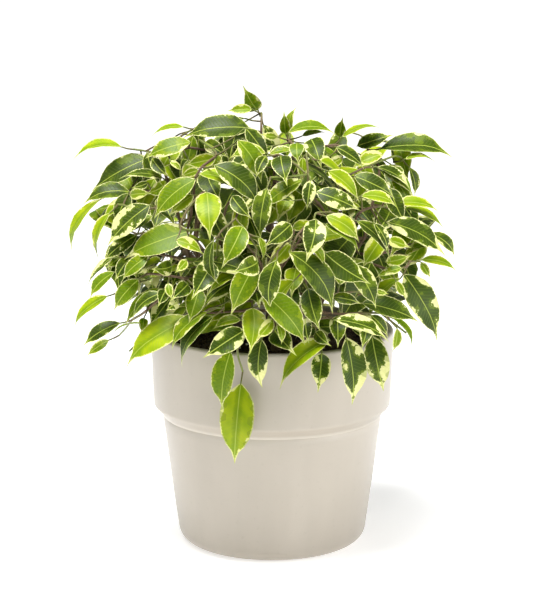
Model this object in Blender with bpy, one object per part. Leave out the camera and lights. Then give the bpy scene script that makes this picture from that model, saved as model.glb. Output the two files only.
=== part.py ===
"""Potted weeping fig with cream-edged leaves, in a stepped ceramic pot.

Metres, +Z up. The origin is the middle of the pot's flat foot, and -Y is the front.
The pot, the soil, each woody stem and each leafy spray is its own solid. A spray is one
twig with the leaf stalks and leaves that grow on it.
"""
import math
import random
from collections import namedtuple

import bmesh
import bpy
from mathutils import Matrix, Vector
from mathutils.bvhtree import BVHTree
from mathutils.kdtree import KDTree

SHARP_ANGLE = 40
# A direction that no stem or twig starts along
CROSS_HINT = Vector((0.31, 0.87, 0.39))
WELD = 0.00001

# Pot
RIM_RADIUS = 0.0700
RIM_HEIGHT = 0.1250
COLLAR_FOOT_RADIUS = 0.0670
COLLAR_FOOT_HEIGHT = 0.0815
BODY_TOP_RADIUS = 0.0633
BODY_TOP_HEIGHT = 0.0754
BODY_FOOT_RADIUS = 0.0547
FOOT_ROUNDING = 0.0086
LIP_ROUNDING = 0.0016
WALL = 0.0042
FLOOR = 0.0060
POT_SIDES = 40
FOOT_STEPS = 4
LIP_STEPS = 2

# Soil
SOIL_LEVEL = 0.1165
SOIL_MOUND = 0.0022
SOIL_SIDES = 28
SOIL_RINGS = (0.82, 0.6, 0.38, 0.16, 0.0)
SOIL_DIP = 0.0007
SOIL_LUMP = 0.0009
FIT_GAP = 0.0003

# Stems
STEM_DEPTH = 0.012
STEM_FOOT_RADIUS = 0.0034
STEM_TOP_RADIUS = 0.0017
STEM_SIDES = 8
STEM_RINGS = 8
STEM_SPLAY = 1.3
STEM_BOW = 0.008

# Twigs and leaf stalks
TWIG_FOOT_RADIUS = 0.00125
TWIG_TIP_RADIUS = 0.00075
TWIG_COLLAR = 0.0030
COLLAR_STATION = 0.0024
TWIG_STEP = 0.0090
NODE_LENGTH = 0.0022
PATH_STEP = 0.0020
TWIG_SUPPLENESS = 0.018
TWIG_EASING = 12
TWIG_BENDINGS = 3
TWIG_PULL = 0.6
TWIG_HELD_FOOT = 0.35
TWIG_HELD_END = 0.12
TWIG_CLEARANCE = 0.0034
TWIG_SLEEVE = 0.0004
SLEEVE_STEPS = 4
FEWEST_STEPS = 6
LONGEST_STEP = 1.4
SHORTEST_END = 0.0008
NODE_SPACING = 0.0036
NODE_MARGIN = 3
STALK_RADIUS = 0.00065
STALK_LENGTH = 0.0065
STALK_LIMIT = 0.026
STALK_DROP = 0.35
STALK_INWARD = 0.25
STALK_GAP = 0.0003
STALK_FREE = 0.0032
TWIG_SURFACE = 0.0024
ROD_INSET = 0.0004

# Places on the stems where twigs grow
SEAT_SPACING = 0.0040
SEATS_TRIED = 400
SEATS_BETWEEN_RINGS = 4
FIRST_SEAT = 6
SEAT_TURNS = 8
SEAT_RISE = 0.006
LEAN_COST = 0.020
CLIMB_COST = 2.0
CLIMB_ALLOWED = 0.004

# Leaves: the blade's stations are shares of its length, with the share of full breadth there
SLENDERNESS = 0.42
ARCH = 0.11
BLADE_STATIONS = ((0.0, 0.0), (0.38, 1.0), (0.76, 0.60))
CORNERS = 3
KEEL_SHARE = 0.6
FOOT_DEPTH = 1.6
LEAF_GAP = 0.00035
CROWD_CELL = 0.012
# A blade's depth at its midrib goes with its kind
LIME, GREEN, DARK, CREAM = 0.00070, 0.00080, 0.00090, 0.00100

# The crown: a dome of leaf middles round the stems
CROWN_CENTRE = Vector((-0.005, 0.0, 0.160))
CROWN_WIDTH = 0.104
CROWN_DEPTH = 0.100
CROWN_RISE = 0.082
CROWN_DROP = 0.110
DOME_ROUNDS = 5
POT_CLEARANCE = 0.0090
RIM_CLEARANCE = 0.0054
FORWARD_STEP = 0.001
FORWARD_STEPS = 60
PUSH_STEP = 0.0015
PUSH_STEPS = 16
STEEPEST = 1.1
FACING_UP = 1.2

# The photographer's view, in pixels of the 548 x 600 photo, where the leaf places are read
VIEW_DISTANCE = 1.25
VIEW_HEIGHT = 0.4001
VIEW_PITCH = 0.2043
VIEW_EYE = Vector((0.0, -VIEW_DISTANCE, VIEW_HEIGHT))
VIEW_FOCAL_PX = 2216.8
VIEW_MIDDLE_PX = (272.1, 300.0)
METRES_PER_PX = 0.000564
OUTLINE_MIDDLE_PX = (264.0, 236.0)
OUTLINE_HALF_PX = (180.0, 118.0)

# Sprays that the photo doesn't show one by one
Tier = namedtuple("Tier", "name rise first last count size")
HIDDEN_TIERS = (
    Tier("low_back", -24, -12, 192, 6, 0.86),
    Tier("back", 14, 2, 178, 5, 0.85),
    Tier("high_back", 50, 30, 150, 3, 0.80),
    Tier("inner", 10, 230, 310, 2, 0.52),
    Tier("low_inner", -22, 205, 335, 3, 0.58),
)
TWIG_TRIES = 12
TURN_SPREAD = 7
RISE_SPREAD = 6
TWIG_MIDDLE = 0.6
TWIG_LIFT = 0.010
TWIG_LIFT_SPREAD = 0.008

# Leaves that the photo doesn't show one by one
HIDDEN_LEAVES = 23
HIDDEN_SHARES = (1.0, 0.15)
FILLING_LEAVES = 12
FILLING_SHARES = (0.9, 0.2)
HIDDEN_TRIES = 80
YOUNG_FROM = 0.86
YOUNG_LENGTHS = (0.027, 0.037)
FULL_LENGTHS = (0.033, 0.045)
STALK_LENGTHS = (0.9, 1.9)
DROOPS = (-0.75, -0.05)
SIDE_LEANS = (0.3, 1.2)
AHEAD = 0.5
SCATTER = 0.6
TILT = 0.35
STALK_OUTWARD = 0.4
FACING_OUT = 0.7
YOUNG_KINDS = (LIME, LIME, GREEN)
OLD_KINDS = (DARK, DARK, GREEN, DARK, CREAM, LIME)
BEHIND_FRONT = 0.006
MIDDLE_ALLOWANCE = 0.92
BACK_FROM = 0.05
DEPTH_ALLOWANCE = 1.12
LOWEST_TIP = 0.090

# Leaves behind the gaps between those, where the photo shows only dark foliage, in its pixels
GAP_LEFT, GAP_RIGHT = 110, 420
GAP_TOP, GAP_BOTTOM = 146, 330
GAP_STEP = 4
GAP_OUTLINE = 0.86
GAP_TRIES = 150
GAP_TWIGS = 10
GAP_HALF_LENGTHS = (14, 22)
GAP_LEANS = (-14, 14)
GAP_BREADTHS = (15, 24)
GAP_DEPTHS = (0.0, 0.180)
SEED = 7

Leaf = namedtuple("Leaf", "base_x base_y tip_x tip_y breadth kind")
Stem = namedtuple("Stem", "foot_x foot_y top_x top_y top_z")
Seat = namedtuple("Seat", "point normal")
Blade = namedtuple("Blade", "base tip normal breadth kind")
Twig = namedtuple("Twig", "name path leaves seat")
Frame = namedtuple("Frame", "seats used paths stems")

STEMS = (
    Stem(0.001, 0.001, -0.004, 0.008, 0.205),
    Stem(-0.018, -0.010, -0.050, -0.028, 0.176),
    Stem(0.017, -0.012, 0.050, -0.026, 0.180),
    Stem(-0.017, 0.013, -0.047, 0.038, 0.170),
    Stem(0.018, 0.012, 0.049, 0.036, 0.174),
    Stem(0.002, -0.024, 0.004, -0.050, 0.160),
    Stem(-0.001, 0.025, 0.002, 0.058, 0.162),
)

# Each leaf of the photo: stalk end, tip and breadth in pixels, and kind. The last leaf of a
# spray grows from its twig's end.
FRONT_SPRAYS = {
    "spray_crown_tip": (
        Leaf(250, 128, 181, 135, 23, DARK), Leaf(252, 109, 227, 111, 10, LIME),
        Leaf(258, 110, 244, 87, 17, GREEN)),
    "spray_top_centre": (
        Leaf(297, 143, 298, 162, 15, GREEN), Leaf(292, 150, 266, 156, 7, GREEN),
        Leaf(278, 137, 260, 134, 8, LIME), Leaf(302, 136, 326, 132, 6, LIME),
        Leaf(288, 133, 337, 133, 10, GREEN), Leaf(286, 134, 284, 111, 11, GREEN),
        Leaf(290, 132, 296, 106, 9, GREEN)),
    "spray_top_right": (
        Leaf(311, 139, 321, 167, 20, DARK), Leaf(343, 157, 322, 167, 10, GREEN),
        Leaf(336, 147, 366, 169, 12, DARK), Leaf(342, 142, 358, 132, 9, DARK),
        Leaf(342, 137, 384, 126, 7, LIME), Leaf(340, 137, 343, 117, 12, GREEN)),
    "spray_shoulder_right": (
        Leaf(357, 146, 394, 134, 15, DARK), Leaf(383, 154, 350, 168, 13, LIME),
        Leaf(380, 149, 454, 151, 17, DARK), Leaf(397, 141, 408, 182, 20, LIME),
        Leaf(405, 159, 438, 163, 6, LIME)),
    "spray_upper_right": (
        Leaf(354, 176, 397, 197, 17, DARK), Leaf(377, 167, 412, 188, 8, CREAM),
        Leaf(382, 170, 416, 196, 12, GREEN), Leaf(409, 167, 415, 196, 8, DARK)),
    "spray_right_1": (
        Leaf(361, 196, 398, 205, 10, LIME), Leaf(374, 223, 389, 252, 9, CREAM),
        Leaf(386, 222, 447, 256, 19, CREAM), Leaf(397, 203, 441, 210, 11, LIME),
        Leaf(403, 208, 445, 229, 7, LIME)),
    "spray_right_2": (
        Leaf(388, 240, 411, 248, 11, LIME), Leaf(386, 262, 412, 255, 12, LIME),
        Leaf(405, 255, 433, 246, 8, LIME), Leaf(430, 233, 457, 256, 11, DARK),
        Leaf(421, 260, 459, 271, 9, LIME)),
    "spray_right_3": (
        Leaf(402, 268, 374, 277, 9, GREEN), Leaf(396, 281, 406, 298, 8, LIME),
        Leaf(421, 262, 431, 278, 8, LIME), Leaf(404, 274, 441, 342, 29, CREAM)),
    "spray_right_4": (
        Leaf(376, 291, 389, 294, 6, LIME), Leaf(332, 297, 362, 303, 11, DARK),
        Leaf(362, 303, 420, 321, 18, DARK)),
    "spray_low_right_1": (
        Leaf(337, 314, 387, 338, 19, CREAM), Leaf(370, 315, 389, 338, 9, DARK),
        Leaf(350, 325, 386, 344, 15, DARK),
        Leaf(397, 328, 393, 352, 8, LIME), Leaf(392, 318, 414, 349, 5, GREEN)),
    "spray_low_right_2": (
        Leaf(335, 320, 391, 339, 14, CREAM), Leaf(337, 316, 338, 347, 16, DARK),
        Leaf(367, 326, 362, 348, 13, DARK), Leaf(346, 337, 354, 406, 24, CREAM),
        Leaf(372, 336, 384, 392, 24, CREAM)),
    "spray_centre_right_1": (
        Leaf(303, 157, 301, 181, 10, LIME), Leaf(311, 180, 307, 210, 13, CREAM),
        Leaf(316, 192, 361, 210, 18, CREAM), Leaf(328, 171, 361, 202, 15, LIME)),
    "spray_centre_right_2": (
        Leaf(326, 216, 361, 242, 16, LIME), Leaf(357, 221, 392, 263, 12, DARK),
        Leaf(325, 224, 363, 254, 12, GREEN)),
    "spray_centre_right_3": (
        Leaf(325, 253, 371, 284, 24, DARK), Leaf(362, 262, 390, 262, 9, DARK),
        Leaf(352, 265, 377, 309, 20, DARK)),
    "spray_centre_1": (
        Leaf(316, 219, 306, 262, 22, CREAM), Leaf(311, 244, 325, 268, 9, LIME),
        Leaf(289, 252, 335, 313, 23, DARK), Leaf(308, 288, 320, 331, 20, DARK)),
    "spray_centre_2": (
        Leaf(291, 224, 264, 247, 18, DARK), Leaf(290, 243, 266, 268, 16, LIME),
        Leaf(277, 260, 270, 310, 20, DARK), Leaf(262, 293, 307, 345, 26, GREEN)),
    "spray_centre_3": (
        Leaf(266, 153, 228, 157, 12, LIME), Leaf(281, 156, 287, 184, 20, DARK),
        Leaf(266, 156, 256, 178, 12, DARK),
        Leaf(303, 180, 262, 207, 14, GREEN), Leaf(267, 188, 260, 240, 19, DARK)),
    "spray_upper_left_1": (
        Leaf(214, 165, 262, 207, 23, DARK), Leaf(199, 170, 180, 177, 9, LIME),
        Leaf(199, 174, 244, 190, 12, LIME), Leaf(216, 158, 184, 165, 14, LIME),
        Leaf(205, 142, 229, 158, 14, DARK)),
    "spray_upper_left_2": (
        Leaf(170, 161, 183, 171, 6, LIME), Leaf(191, 142, 144, 157, 16, GREEN),
        Leaf(184, 127, 149, 138, 6, LIME)),
    "spray_left_1": (
        Leaf(163, 178, 118, 178, 9, DARK), Leaf(152, 158, 169, 177, 12, DARK),
        Leaf(150, 158, 91, 191, 23, DARK), Leaf(122, 147, 70, 159, 9, LIME)),
    "spray_left_2": (
        Leaf(163, 186, 146, 194, 13, GREEN), Leaf(148, 183, 131, 188, 8, DARK),
        Leaf(130, 195, 152, 193, 11, LIME), Leaf(128, 199, 101, 222, 11, LIME),
        Leaf(130, 192, 81, 205, 17, DARK), Leaf(101, 199, 67, 253, 8, LIME)),
    "spray_left_3": (
        Leaf(196, 179, 153, 219, 20, GREEN), Leaf(153, 216, 110, 247, 14, GREEN),
        Leaf(150, 205, 107, 246, 22, CREAM), Leaf(137, 235, 103, 262, 15, CREAM),
        Leaf(110, 213, 98, 262, 9, LIME)),
    "spray_left_4": (
        Leaf(207, 192, 210, 238, 25, LIME), Leaf(194, 195, 169, 216, 13, LIME),
        Leaf(176, 240, 205, 255, 12, LIME), Leaf(190, 231, 121, 257, 27, GREEN)),
    "spray_left_5": (
        Leaf(187, 260, 175, 273, 9, LIME), Leaf(172, 266, 151, 269, 15, DARK),
        Leaf(148, 256, 121, 280, 14, GREEN), Leaf(131, 257, 115, 281, 14, DARK),
        Leaf(112, 258, 86, 288, 7, CREAM), Leaf(120, 257, 106, 268, 9, GREEN),
        Leaf(115, 272, 89, 298, 10, GREEN)),
    "spray_left_6": (
        Leaf(188, 284, 171, 300, 15, DARK), Leaf(168, 283, 172, 300, 8, LIME),
        Leaf(139, 279, 113, 311, 17, GREEN), Leaf(108, 296, 70, 329, 11, LIME)),
    "spray_low_left_1": (
        Leaf(178, 303, 166, 311, 10, CREAM), Leaf(166, 290, 158, 307, 12, DARK),
        Leaf(162, 293, 131, 322, 12, DARK), Leaf(160, 288, 124, 325, 10, GREEN),
        Leaf(144, 318, 141, 334, 9, GREEN), Leaf(121, 323, 83, 346, 12, DARK),
        Leaf(109, 340, 86, 356, 10, GREEN)),
    "spray_centre_left_1": (
        Leaf(232, 196, 252, 219, 14, DARK), Leaf(243, 226, 222, 268, 22, GREEN),
        Leaf(214, 240, 217, 286, 9, DARK), Leaf(213, 262, 192, 299, 22, CREAM)),
    "spray_centre_left_2": (
        Leaf(240, 243, 265, 265, 14, GREEN), Leaf(259, 237, 263, 262, 7, LIME),
        Leaf(258, 262, 232, 272, 19, DARK), Leaf(255, 265, 231, 315, 24, GREEN)),
    "spray_low_left_2": (
        Leaf(208, 312, 169, 348, 12, GREEN), Leaf(191, 318, 122, 363, 26, LIME),
        Leaf(214, 316, 178, 366, 14, DARK)),
    "spray_low_centre_1": (
        Leaf(245, 330, 203, 358, 22, CREAM), Leaf(241, 320, 212, 330, 10, LIME),
        Leaf(231, 351, 222, 409, 21, GREEN), Leaf(241, 383, 234, 465, 34, LIME)),
    "spray_low_centre_2": (
        Leaf(253, 308, 250, 354, 23, LIME), Leaf(273, 319, 256, 340, 12, LIME),
        Leaf(262, 339, 261, 389, 19, CREAM)),
    "spray_low_centre_3": (
        Leaf(277, 322, 282, 345, 7, LIME), Leaf(275, 330, 296, 355, 20, DARK),
        Leaf(306, 318, 309, 343, 12, CREAM), Leaf(316, 332, 331, 346, 12, DARK),
        Leaf(330, 340, 277, 388, 18, LIME), Leaf(322, 353, 318, 392, 19, CREAM)),
}

FINISHES = {
    "glazed_pot": ((0.68, 0.64, 0.55), 0.38),
    "potting_soil": ((0.045, 0.030, 0.020), 0.95),
    "fig_bark": ((0.24, 0.17, 0.11), 0.80),
    "fig_leaf": ((0.10, 0.26, 0.05), 0.42),
}


def clear_scene():
    """Remove what the file opened with."""
    for thing in list(bpy.data.objects):
        bpy.data.objects.remove(thing, do_unlink=True)


def finish(name):
    """The named Principled material, made once for each piece that asks."""
    colour, roughness = FINISHES[name]
    material = bpy.data.materials.new(name)
    material.use_nodes = True
    shader = material.node_tree.nodes["Principled BSDF"]
    shader.inputs["Base Color"].default_value = (*colour, 1.0)
    shader.inputs["Roughness"].default_value = roughness
    shader.inputs["Metallic"].default_value = 0.0
    return material


def place(name, mesh, material_name, smooth=True):
    """A named object for a finished mesh, with its own material."""
    piece = bpy.data.objects.new(name, mesh)
    bpy.context.scene.collection.objects.link(piece)
    mesh.materials.append(finish(material_name))
    if smooth:
        mesh.shade_smooth()
        mesh.set_sharp_from_angle(angle=math.radians(SHARP_ANGLE))
    return piece


def mesh_of(name, points, faces):
    """A mesh from point and face lists."""
    mesh = bpy.data.meshes.new(name)
    mesh.from_pydata([tuple(point) for point in points], [], faces)
    mesh.update()
    return mesh


def arc(centre_x, centre_z, radius, start, end, steps):
    """Points on an arc of a turned outline, angles in degrees."""
    for step in range(steps + 1):
        angle = math.radians(start + (end - start) * step / steps)
        yield centre_x + radius * math.cos(angle), centre_z + radius * math.sin(angle)


def turned(name, outline, sides):
    """A round solid from its half outline, which starts and ends on the axis."""
    shape = bmesh.new()
    points = [shape.verts.new((x, 0.0, z)) for x, z in outline]
    edges = [shape.edges.new(pair) for pair in zip(points, points[1:])]
    bmesh.ops.spin(shape, geom=points + edges, axis=(0, 0, 1), cent=(0, 0, 0),
                   steps=sides, angle=math.tau, use_merge=True)
    bmesh.ops.remove_doubles(shape, verts=shape.verts, dist=WELD)
    bmesh.ops.recalc_face_normals(shape, faces=shape.faces)
    mesh = bpy.data.meshes.new(name)
    shape.to_mesh(mesh)
    shape.free()
    return mesh


def inner_radius(height):
    """The pot's inner radius at a height above its floor."""
    share = (height - FLOOR) / (RIM_HEIGHT - FLOOR)
    return (BODY_FOOT_RADIUS - WALL) + (RIM_RADIUS - BODY_FOOT_RADIUS) * share


def outer_radius(height):
    """The pot's outer radius at a height, without its roundings."""
    if height > COLLAR_FOOT_HEIGHT:
        share = (height - COLLAR_FOOT_HEIGHT) / (RIM_HEIGHT - COLLAR_FOOT_HEIGHT)
        return COLLAR_FOOT_RADIUS + (RIM_RADIUS - COLLAR_FOOT_RADIUS) * min(share, 1.0)
    return COLLAR_FOOT_RADIUS


def make_pot():
    """The stepped pot: a tapered body under a deeper collar, open at the top."""
    lip_out = RIM_RADIUS - LIP_ROUNDING
    lip_in = RIM_RADIUS - WALL + LIP_ROUNDING
    lip_z = RIM_HEIGHT - LIP_ROUNDING
    outline = [(0.0, 0.0)]
    outline += arc(BODY_FOOT_RADIUS - FOOT_ROUNDING, FOOT_ROUNDING, FOOT_ROUNDING, -90, -4,
                   FOOT_STEPS)
    outline += [(BODY_TOP_RADIUS, BODY_TOP_HEIGHT), (COLLAR_FOOT_RADIUS, COLLAR_FOOT_HEIGHT)]
    outline += arc(lip_out, lip_z, LIP_ROUNDING, 0, 90, LIP_STEPS)
    outline += arc(lip_in, lip_z, LIP_ROUNDING, 90, 180, LIP_STEPS)
    outline += arc(inner_radius(FLOOR) - FLOOR, FLOOR + FLOOR, FLOOR, 0, -90, LIP_STEPS)
    outline += [(0.0, FLOOR)]
    return place("pot", turned("pot", outline, POT_SIDES), "glazed_pot")


def make_soil(stem_paths, chance):
    """The soil, with a low uneven mound and a pocket round each stem."""
    low = FLOOR + FIT_GAP
    wide_top = inner_radius(SOIL_LEVEL) - 2 * FIT_GAP
    wide_foot = inner_radius(FLOOR) - FLOOR - FIT_GAP
    wall_foot = low + FLOOR
    outline = [(0.0, low), (wide_foot, low), (inner_radius(FLOOR) - 3 * FIT_GAP, wall_foot),
               (wide_top, SOIL_LEVEL)]
    for share in SOIL_RINGS:
        outline.append((wide_top * share, SOIL_LEVEL + SOIL_MOUND * (1 - share)))
    mesh = turned("soil", outline, SOIL_SIDES)
    for vertex in mesh.vertices:
        if vertex.co.z > SOIL_LEVEL + FIT_GAP:
            vertex.co.z += chance.uniform(-SOIL_DIP, SOIL_LUMP)
    soil = place("soil", mesh, "potting_soil", smooth=False)
    for number, (path, radii) in enumerate(stem_paths, 1):
        cutter_path = [path[0] - Vector((0, 0, FIT_GAP)), *path[1:]]
        pocket = tube(f"stem_pocket_{number}", cutter_path,
                      [radius + FIT_GAP for radius in radii], STEM_SIDES)
        cutter = bpy.data.objects.new(f"stem_pocket_{number}", pocket)
        bpy.context.scene.collection.objects.link(cutter)
        cutter.hide_render = True
        cutter.display_type = "WIRE"
        cut = soil.modifiers.new(f"pocket_{number}", "BOOLEAN")
        cut.operation = "DIFFERENCE"
        cut.solver = "EXACT"
        cut.object = cutter
    return soil


def frames_along(path):
    """A direction and two cross directions at each point, turning as little as they can."""
    frames = []
    across = None
    for index, point in enumerate(path):
        before = path[max(index - 1, 0)]
        after = path[min(index + 1, len(path) - 1)]
        along = (after - before).normalized()
        if across is None:
            across = along.cross(CROSS_HINT).normalized()
        across = (across - along * across.dot(along)).normalized()
        frames.append((along, across, along.cross(across)))
    return frames


def rings_along(path, radii, sides):
    """Round sections on a path, each in turning order about the path's direction."""
    rings = []
    angles = [math.tau * (side + 0.5) / sides for side in range(sides)]
    for point, radius, (_, across, up) in zip(path, radii, frames_along(path)):
        rings.append([point + (across * math.cos(angle) + up * math.sin(angle)) * radius
                      for angle in angles])
    return rings


def tube(name, path, radii, sides):
    """A closed tube with flat ends."""
    points, faces = [], []
    for ring in rings_along(path, radii, sides):
        points += ring
    for ring in range(len(path) - 1):
        for side in range(sides):
            low, high = ring * sides, (ring + 1) * sides
            after = (side + 1) % sides
            faces.append((low + side, low + after, high + after, high + side))
    faces.append(tuple(reversed(range(sides))))
    faces.append(tuple(range(len(points) - sides, len(points))))
    return mesh_of(name, points, faces)


def bezier(start, middle, end, share):
    """A point on a curve that leaves start towards middle and comes to end from it."""
    rest = 1 - share
    return start * rest * rest + middle * (2 * rest * share) + end * share * share


def stem_path(stem):
    """Points and radii of a stem, from its foot in the soil to its top."""
    foot = Vector((stem.foot_x, stem.foot_y, SOIL_LEVEL - STEM_DEPTH))
    top = Vector((stem.top_x, stem.top_y, stem.top_z))
    middle = Vector((stem.foot_x * STEM_SPLAY, stem.foot_y * STEM_SPLAY,
                     (foot.z + top.z) / 2 + STEM_BOW))
    path, radii = [], []
    for ring in range(STEM_RINGS):
        share = ring / (STEM_RINGS - 1)
        path.append(bezier(foot, middle, top, share))
        radii.append(STEM_FOOT_RADIUS + (STEM_TOP_RADIUS - STEM_FOOT_RADIUS) * share)
    return path, radii


def sight(x, y, depth):
    """The point that the photo shows at pixel x, y, at a distance depth behind the pot's axis."""
    aside = (x - VIEW_MIDDLE_PX[0]) / VIEW_FOCAL_PX
    rise = (VIEW_MIDDLE_PX[1] - y) / VIEW_FOCAL_PX
    ray = Vector((aside,
                  math.cos(VIEW_PITCH) + rise * math.sin(VIEW_PITCH),
                  rise * math.cos(VIEW_PITCH) - math.sin(VIEW_PITCH)))
    return VIEW_EYE + ray * ((depth + VIEW_DISTANCE) / ray.y)


def seen_at(point):
    """The photo's pixel that shows a point."""
    from_eye = point - VIEW_EYE
    ahead = from_eye.y * math.cos(VIEW_PITCH) - from_eye.z * math.sin(VIEW_PITCH)
    rise = from_eye.y * math.sin(VIEW_PITCH) + from_eye.z * math.cos(VIEW_PITCH)
    return (VIEW_MIDDLE_PX[0] + VIEW_FOCAL_PX * from_eye.x / ahead,
            VIEW_MIDDLE_PX[1] - VIEW_FOCAL_PX * rise / ahead)


def dome_depth(x, y):
    """How far forward the crown's leaves lie at a pixel, as a negative depth."""
    depth = 0.0
    for _ in range(DOME_ROUNDS):
        offset = sight(x, y, depth) - CROWN_CENTRE
        height = CROWN_RISE if offset.z > 0 else CROWN_DROP
        spread = (offset.x / CROWN_WIDTH) ** 2 + (offset.z / height) ** 2
        depth = -CROWN_DEPTH * math.sqrt(max(0.0, 1 - spread))
    return depth


def forward_of_pot(point, x, y):
    """The same pixel's point, brought out in front of the pot where it would be inside it."""
    depth = point.y
    for _ in range(FORWARD_STEPS):
        radius = math.hypot(point.x, point.y)
        needed = outer_radius(point.z) + POT_CLEARANCE
        if point.z > RIM_HEIGHT + RIM_CLEARANCE or radius >= needed:
            break
        depth -= FORWARD_STEP
        point = sight(x, y, depth)
    return point


def front_blade(leaf, push):
    """A leaf of the photo in space, moved back by push along the line of sight."""
    span = math.hypot(leaf.tip_x - leaf.base_x, leaf.tip_y - leaf.base_y)
    full_span = max(span, leaf.breadth / SLENDERNESS)
    reach = METRES_PER_PX * math.sqrt(full_span ** 2 - span ** 2)
    reach = min(reach, METRES_PER_PX * span * STEEPEST)
    depth = dome_depth((leaf.base_x + leaf.tip_x) / 2, (leaf.base_y + leaf.tip_y) / 2) + push
    base = sight(leaf.base_x, leaf.base_y, depth + reach / 2)
    tip = sight(leaf.tip_x, leaf.tip_y, depth - reach / 2)
    base = forward_of_pot(base, leaf.base_x, leaf.base_y)
    tip = forward_of_pot(tip, leaf.tip_x, leaf.tip_y)
    if base.y != depth + reach / 2 or tip.y != depth - reach / 2:
        forward = min(base.y, tip.y + reach)
        base = sight(leaf.base_x, leaf.base_y, forward)
        tip = sight(leaf.tip_x, leaf.tip_y, min(tip.y, forward - reach))
    axis = (tip - base).normalized()
    to_eye = (VIEW_EYE - base).normalized()
    facing = (to_eye - axis * to_eye.dot(axis)).normalized()
    breadth = METRES_PER_PX * full_span * SLENDERNESS
    turn = math.acos(min(1.0, METRES_PER_PX * leaf.breadth / breadth))
    edge = axis.cross(facing)
    normals = [facing * math.cos(turn) + edge * math.sin(turn * way) for way in (-1, 1)]
    outward = ((base + tip) / 2 - CROWN_CENTRE).normalized() + Vector((0, 0, FACING_UP))
    return Blade(base, tip, max(normals, key=outward.dot), breadth, leaf.kind)


def blade_sections(blade, extra=0.0):
    """Sections from a blade's foot towards its tip, as two edges and a midrib, and the tip."""
    axis = blade.tip - blade.base
    length = axis.length
    along = axis.normalized()
    side = along.cross(blade.normal).normalized()
    up = side.cross(along)
    sections = []
    for share, wide in BLADE_STATIONS:
        centre = blade.base + axis * share + up * (4 * ARCH * length * share * (1 - share))
        slope = 4 * ARCH * (1 - 2 * share)
        face = side.cross((along + up * slope).normalized())
        reach = side * (max(blade.breadth / 2 * wide, STALK_RADIUS) + extra)
        depth = max(blade.kind, STALK_RADIUS * FOOT_DEPTH * (1 - wide)) + extra
        lift = face * (depth * (1 - KEEL_SHARE) + extra * KEEL_SHARE)
        sections.append([centre - reach + lift, centre + reach + lift,
                         centre - face * (depth * KEEL_SHARE)])
    return sections, blade.tip + along * extra


def shell(sections, tip):
    """Points and faces of a blade that is closed at its foot and its tip."""
    points = [point for section in sections for point in section] + [tip]
    faces = [(2, 1, 0)]
    for ring in range(len(sections) - 1):
        low = ring * CORNERS
        faces += band(range(low, low + CORNERS), range(low + CORNERS, low + 2 * CORNERS))
    last = (len(sections) - 1) * CORNERS
    faces += [(last + corner, last + (corner + 1) % CORNERS, last + CORNERS)
              for corner in range(CORNERS)]
    return points, faces


def band(lower, upper):
    """Triangles between two three-cornered sections."""
    faces = []
    for corner in range(CORNERS):
        after = (corner + 1) % CORNERS
        faces.append((lower[corner], lower[after], upper[corner]))
        faces.append((lower[after], upper[after], upper[corner]))
    return faces


def rod(start, end, radius):
    """Points and faces of a straight square rod."""
    rings = rings_along([start, end], [radius, radius], 4)
    faces = [(0, 1, 5, 4), (1, 2, 6, 5), (2, 3, 7, 6), (3, 0, 4, 7), (3, 2, 1, 0), (4, 5, 6, 7)]
    return rings[0] + rings[1], faces


class Crowd:
    """Every surface placed so far, so that a new one can be kept clear of them."""

    def __init__(self):
        self.cells = {}
        self.trees = []

    @staticmethod
    def cells_of(points):
        """The cells of a coarse grid that a surface's box covers."""
        low = [math.floor(min(point[axis] for point in points) / CROWD_CELL) for axis in range(3)]
        high = [math.floor(max(point[axis] for point in points) / CROWD_CELL) for axis in range(3)]
        return [(x, y, z) for x in range(low[0], high[0] + 1)
                for y in range(low[1], high[1] + 1) for z in range(low[2], high[2] + 1)]

    def add(self, points, faces, owner=None):
        """Take in a surface, with the twig that it stands in for, if any."""
        tree = BVHTree.FromPolygons(points, faces)
        self.trees.append(tree)
        for cell in self.cells_of(points):
            self.cells.setdefault(cell, []).append((tree, owner))

    def clear_of(self, points, faces, ignored="none"):
        """Whether a surface crosses none of those taken in, apart from an ignored twig."""
        near = {id(tree): tree for cell in self.cells_of(points)
                for tree, owner in self.cells.get(cell, ()) if owner != ignored}
        own = BVHTree.FromPolygons(points, faces)
        return not any(own.overlap(tree) for tree in near.values())

    def open_at(self, x, y):
        """Whether the line of sight at a pixel of the photo meets nothing."""
        towards = (sight(x, y, 0.0) - VIEW_EYE).normalized()
        return all(tree.ray_cast(VIEW_EYE, towards)[0] is None for tree in self.trees)


def mesh_faces(thing):
    """Points and faces of an object's own mesh."""
    return ([vertex.co.copy() for vertex in thing.data.vertices],
            [tuple(face.vertices) for face in thing.data.polygons])


def seats_on(stem_paths):
    """Places on the stems where a twig can grow, the stem tops first."""
    seats = []
    for path, radii in stem_paths:
        along = (path[-1] - path[-2]).normalized()
        seats.append(Seat(path[-1] + along * FIT_GAP, along))
    for path, radii in stem_paths:
        for step in range(FIRST_SEAT, SEATS_BETWEEN_RINGS * (len(path) - 1)):
            ring, part = divmod(step, SEATS_BETWEEN_RINGS)
            point = path[ring].lerp(path[ring + 1], part / SEATS_BETWEEN_RINGS)
            if point.z < RIM_HEIGHT + SEAT_RISE:
                continue
            along = (path[ring + 1] - path[ring]).normalized()
            radius = radii[ring] + FIT_GAP
            across = along.cross(Vector((0, 1, 0))).normalized()
            for turn in range(SEAT_TURNS):
                normal = Matrix.Rotation(math.tau * turn / SEAT_TURNS, 3, along) @ across
                seats.append(Seat(point + normal * radius, normal))
    return seats


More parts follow.
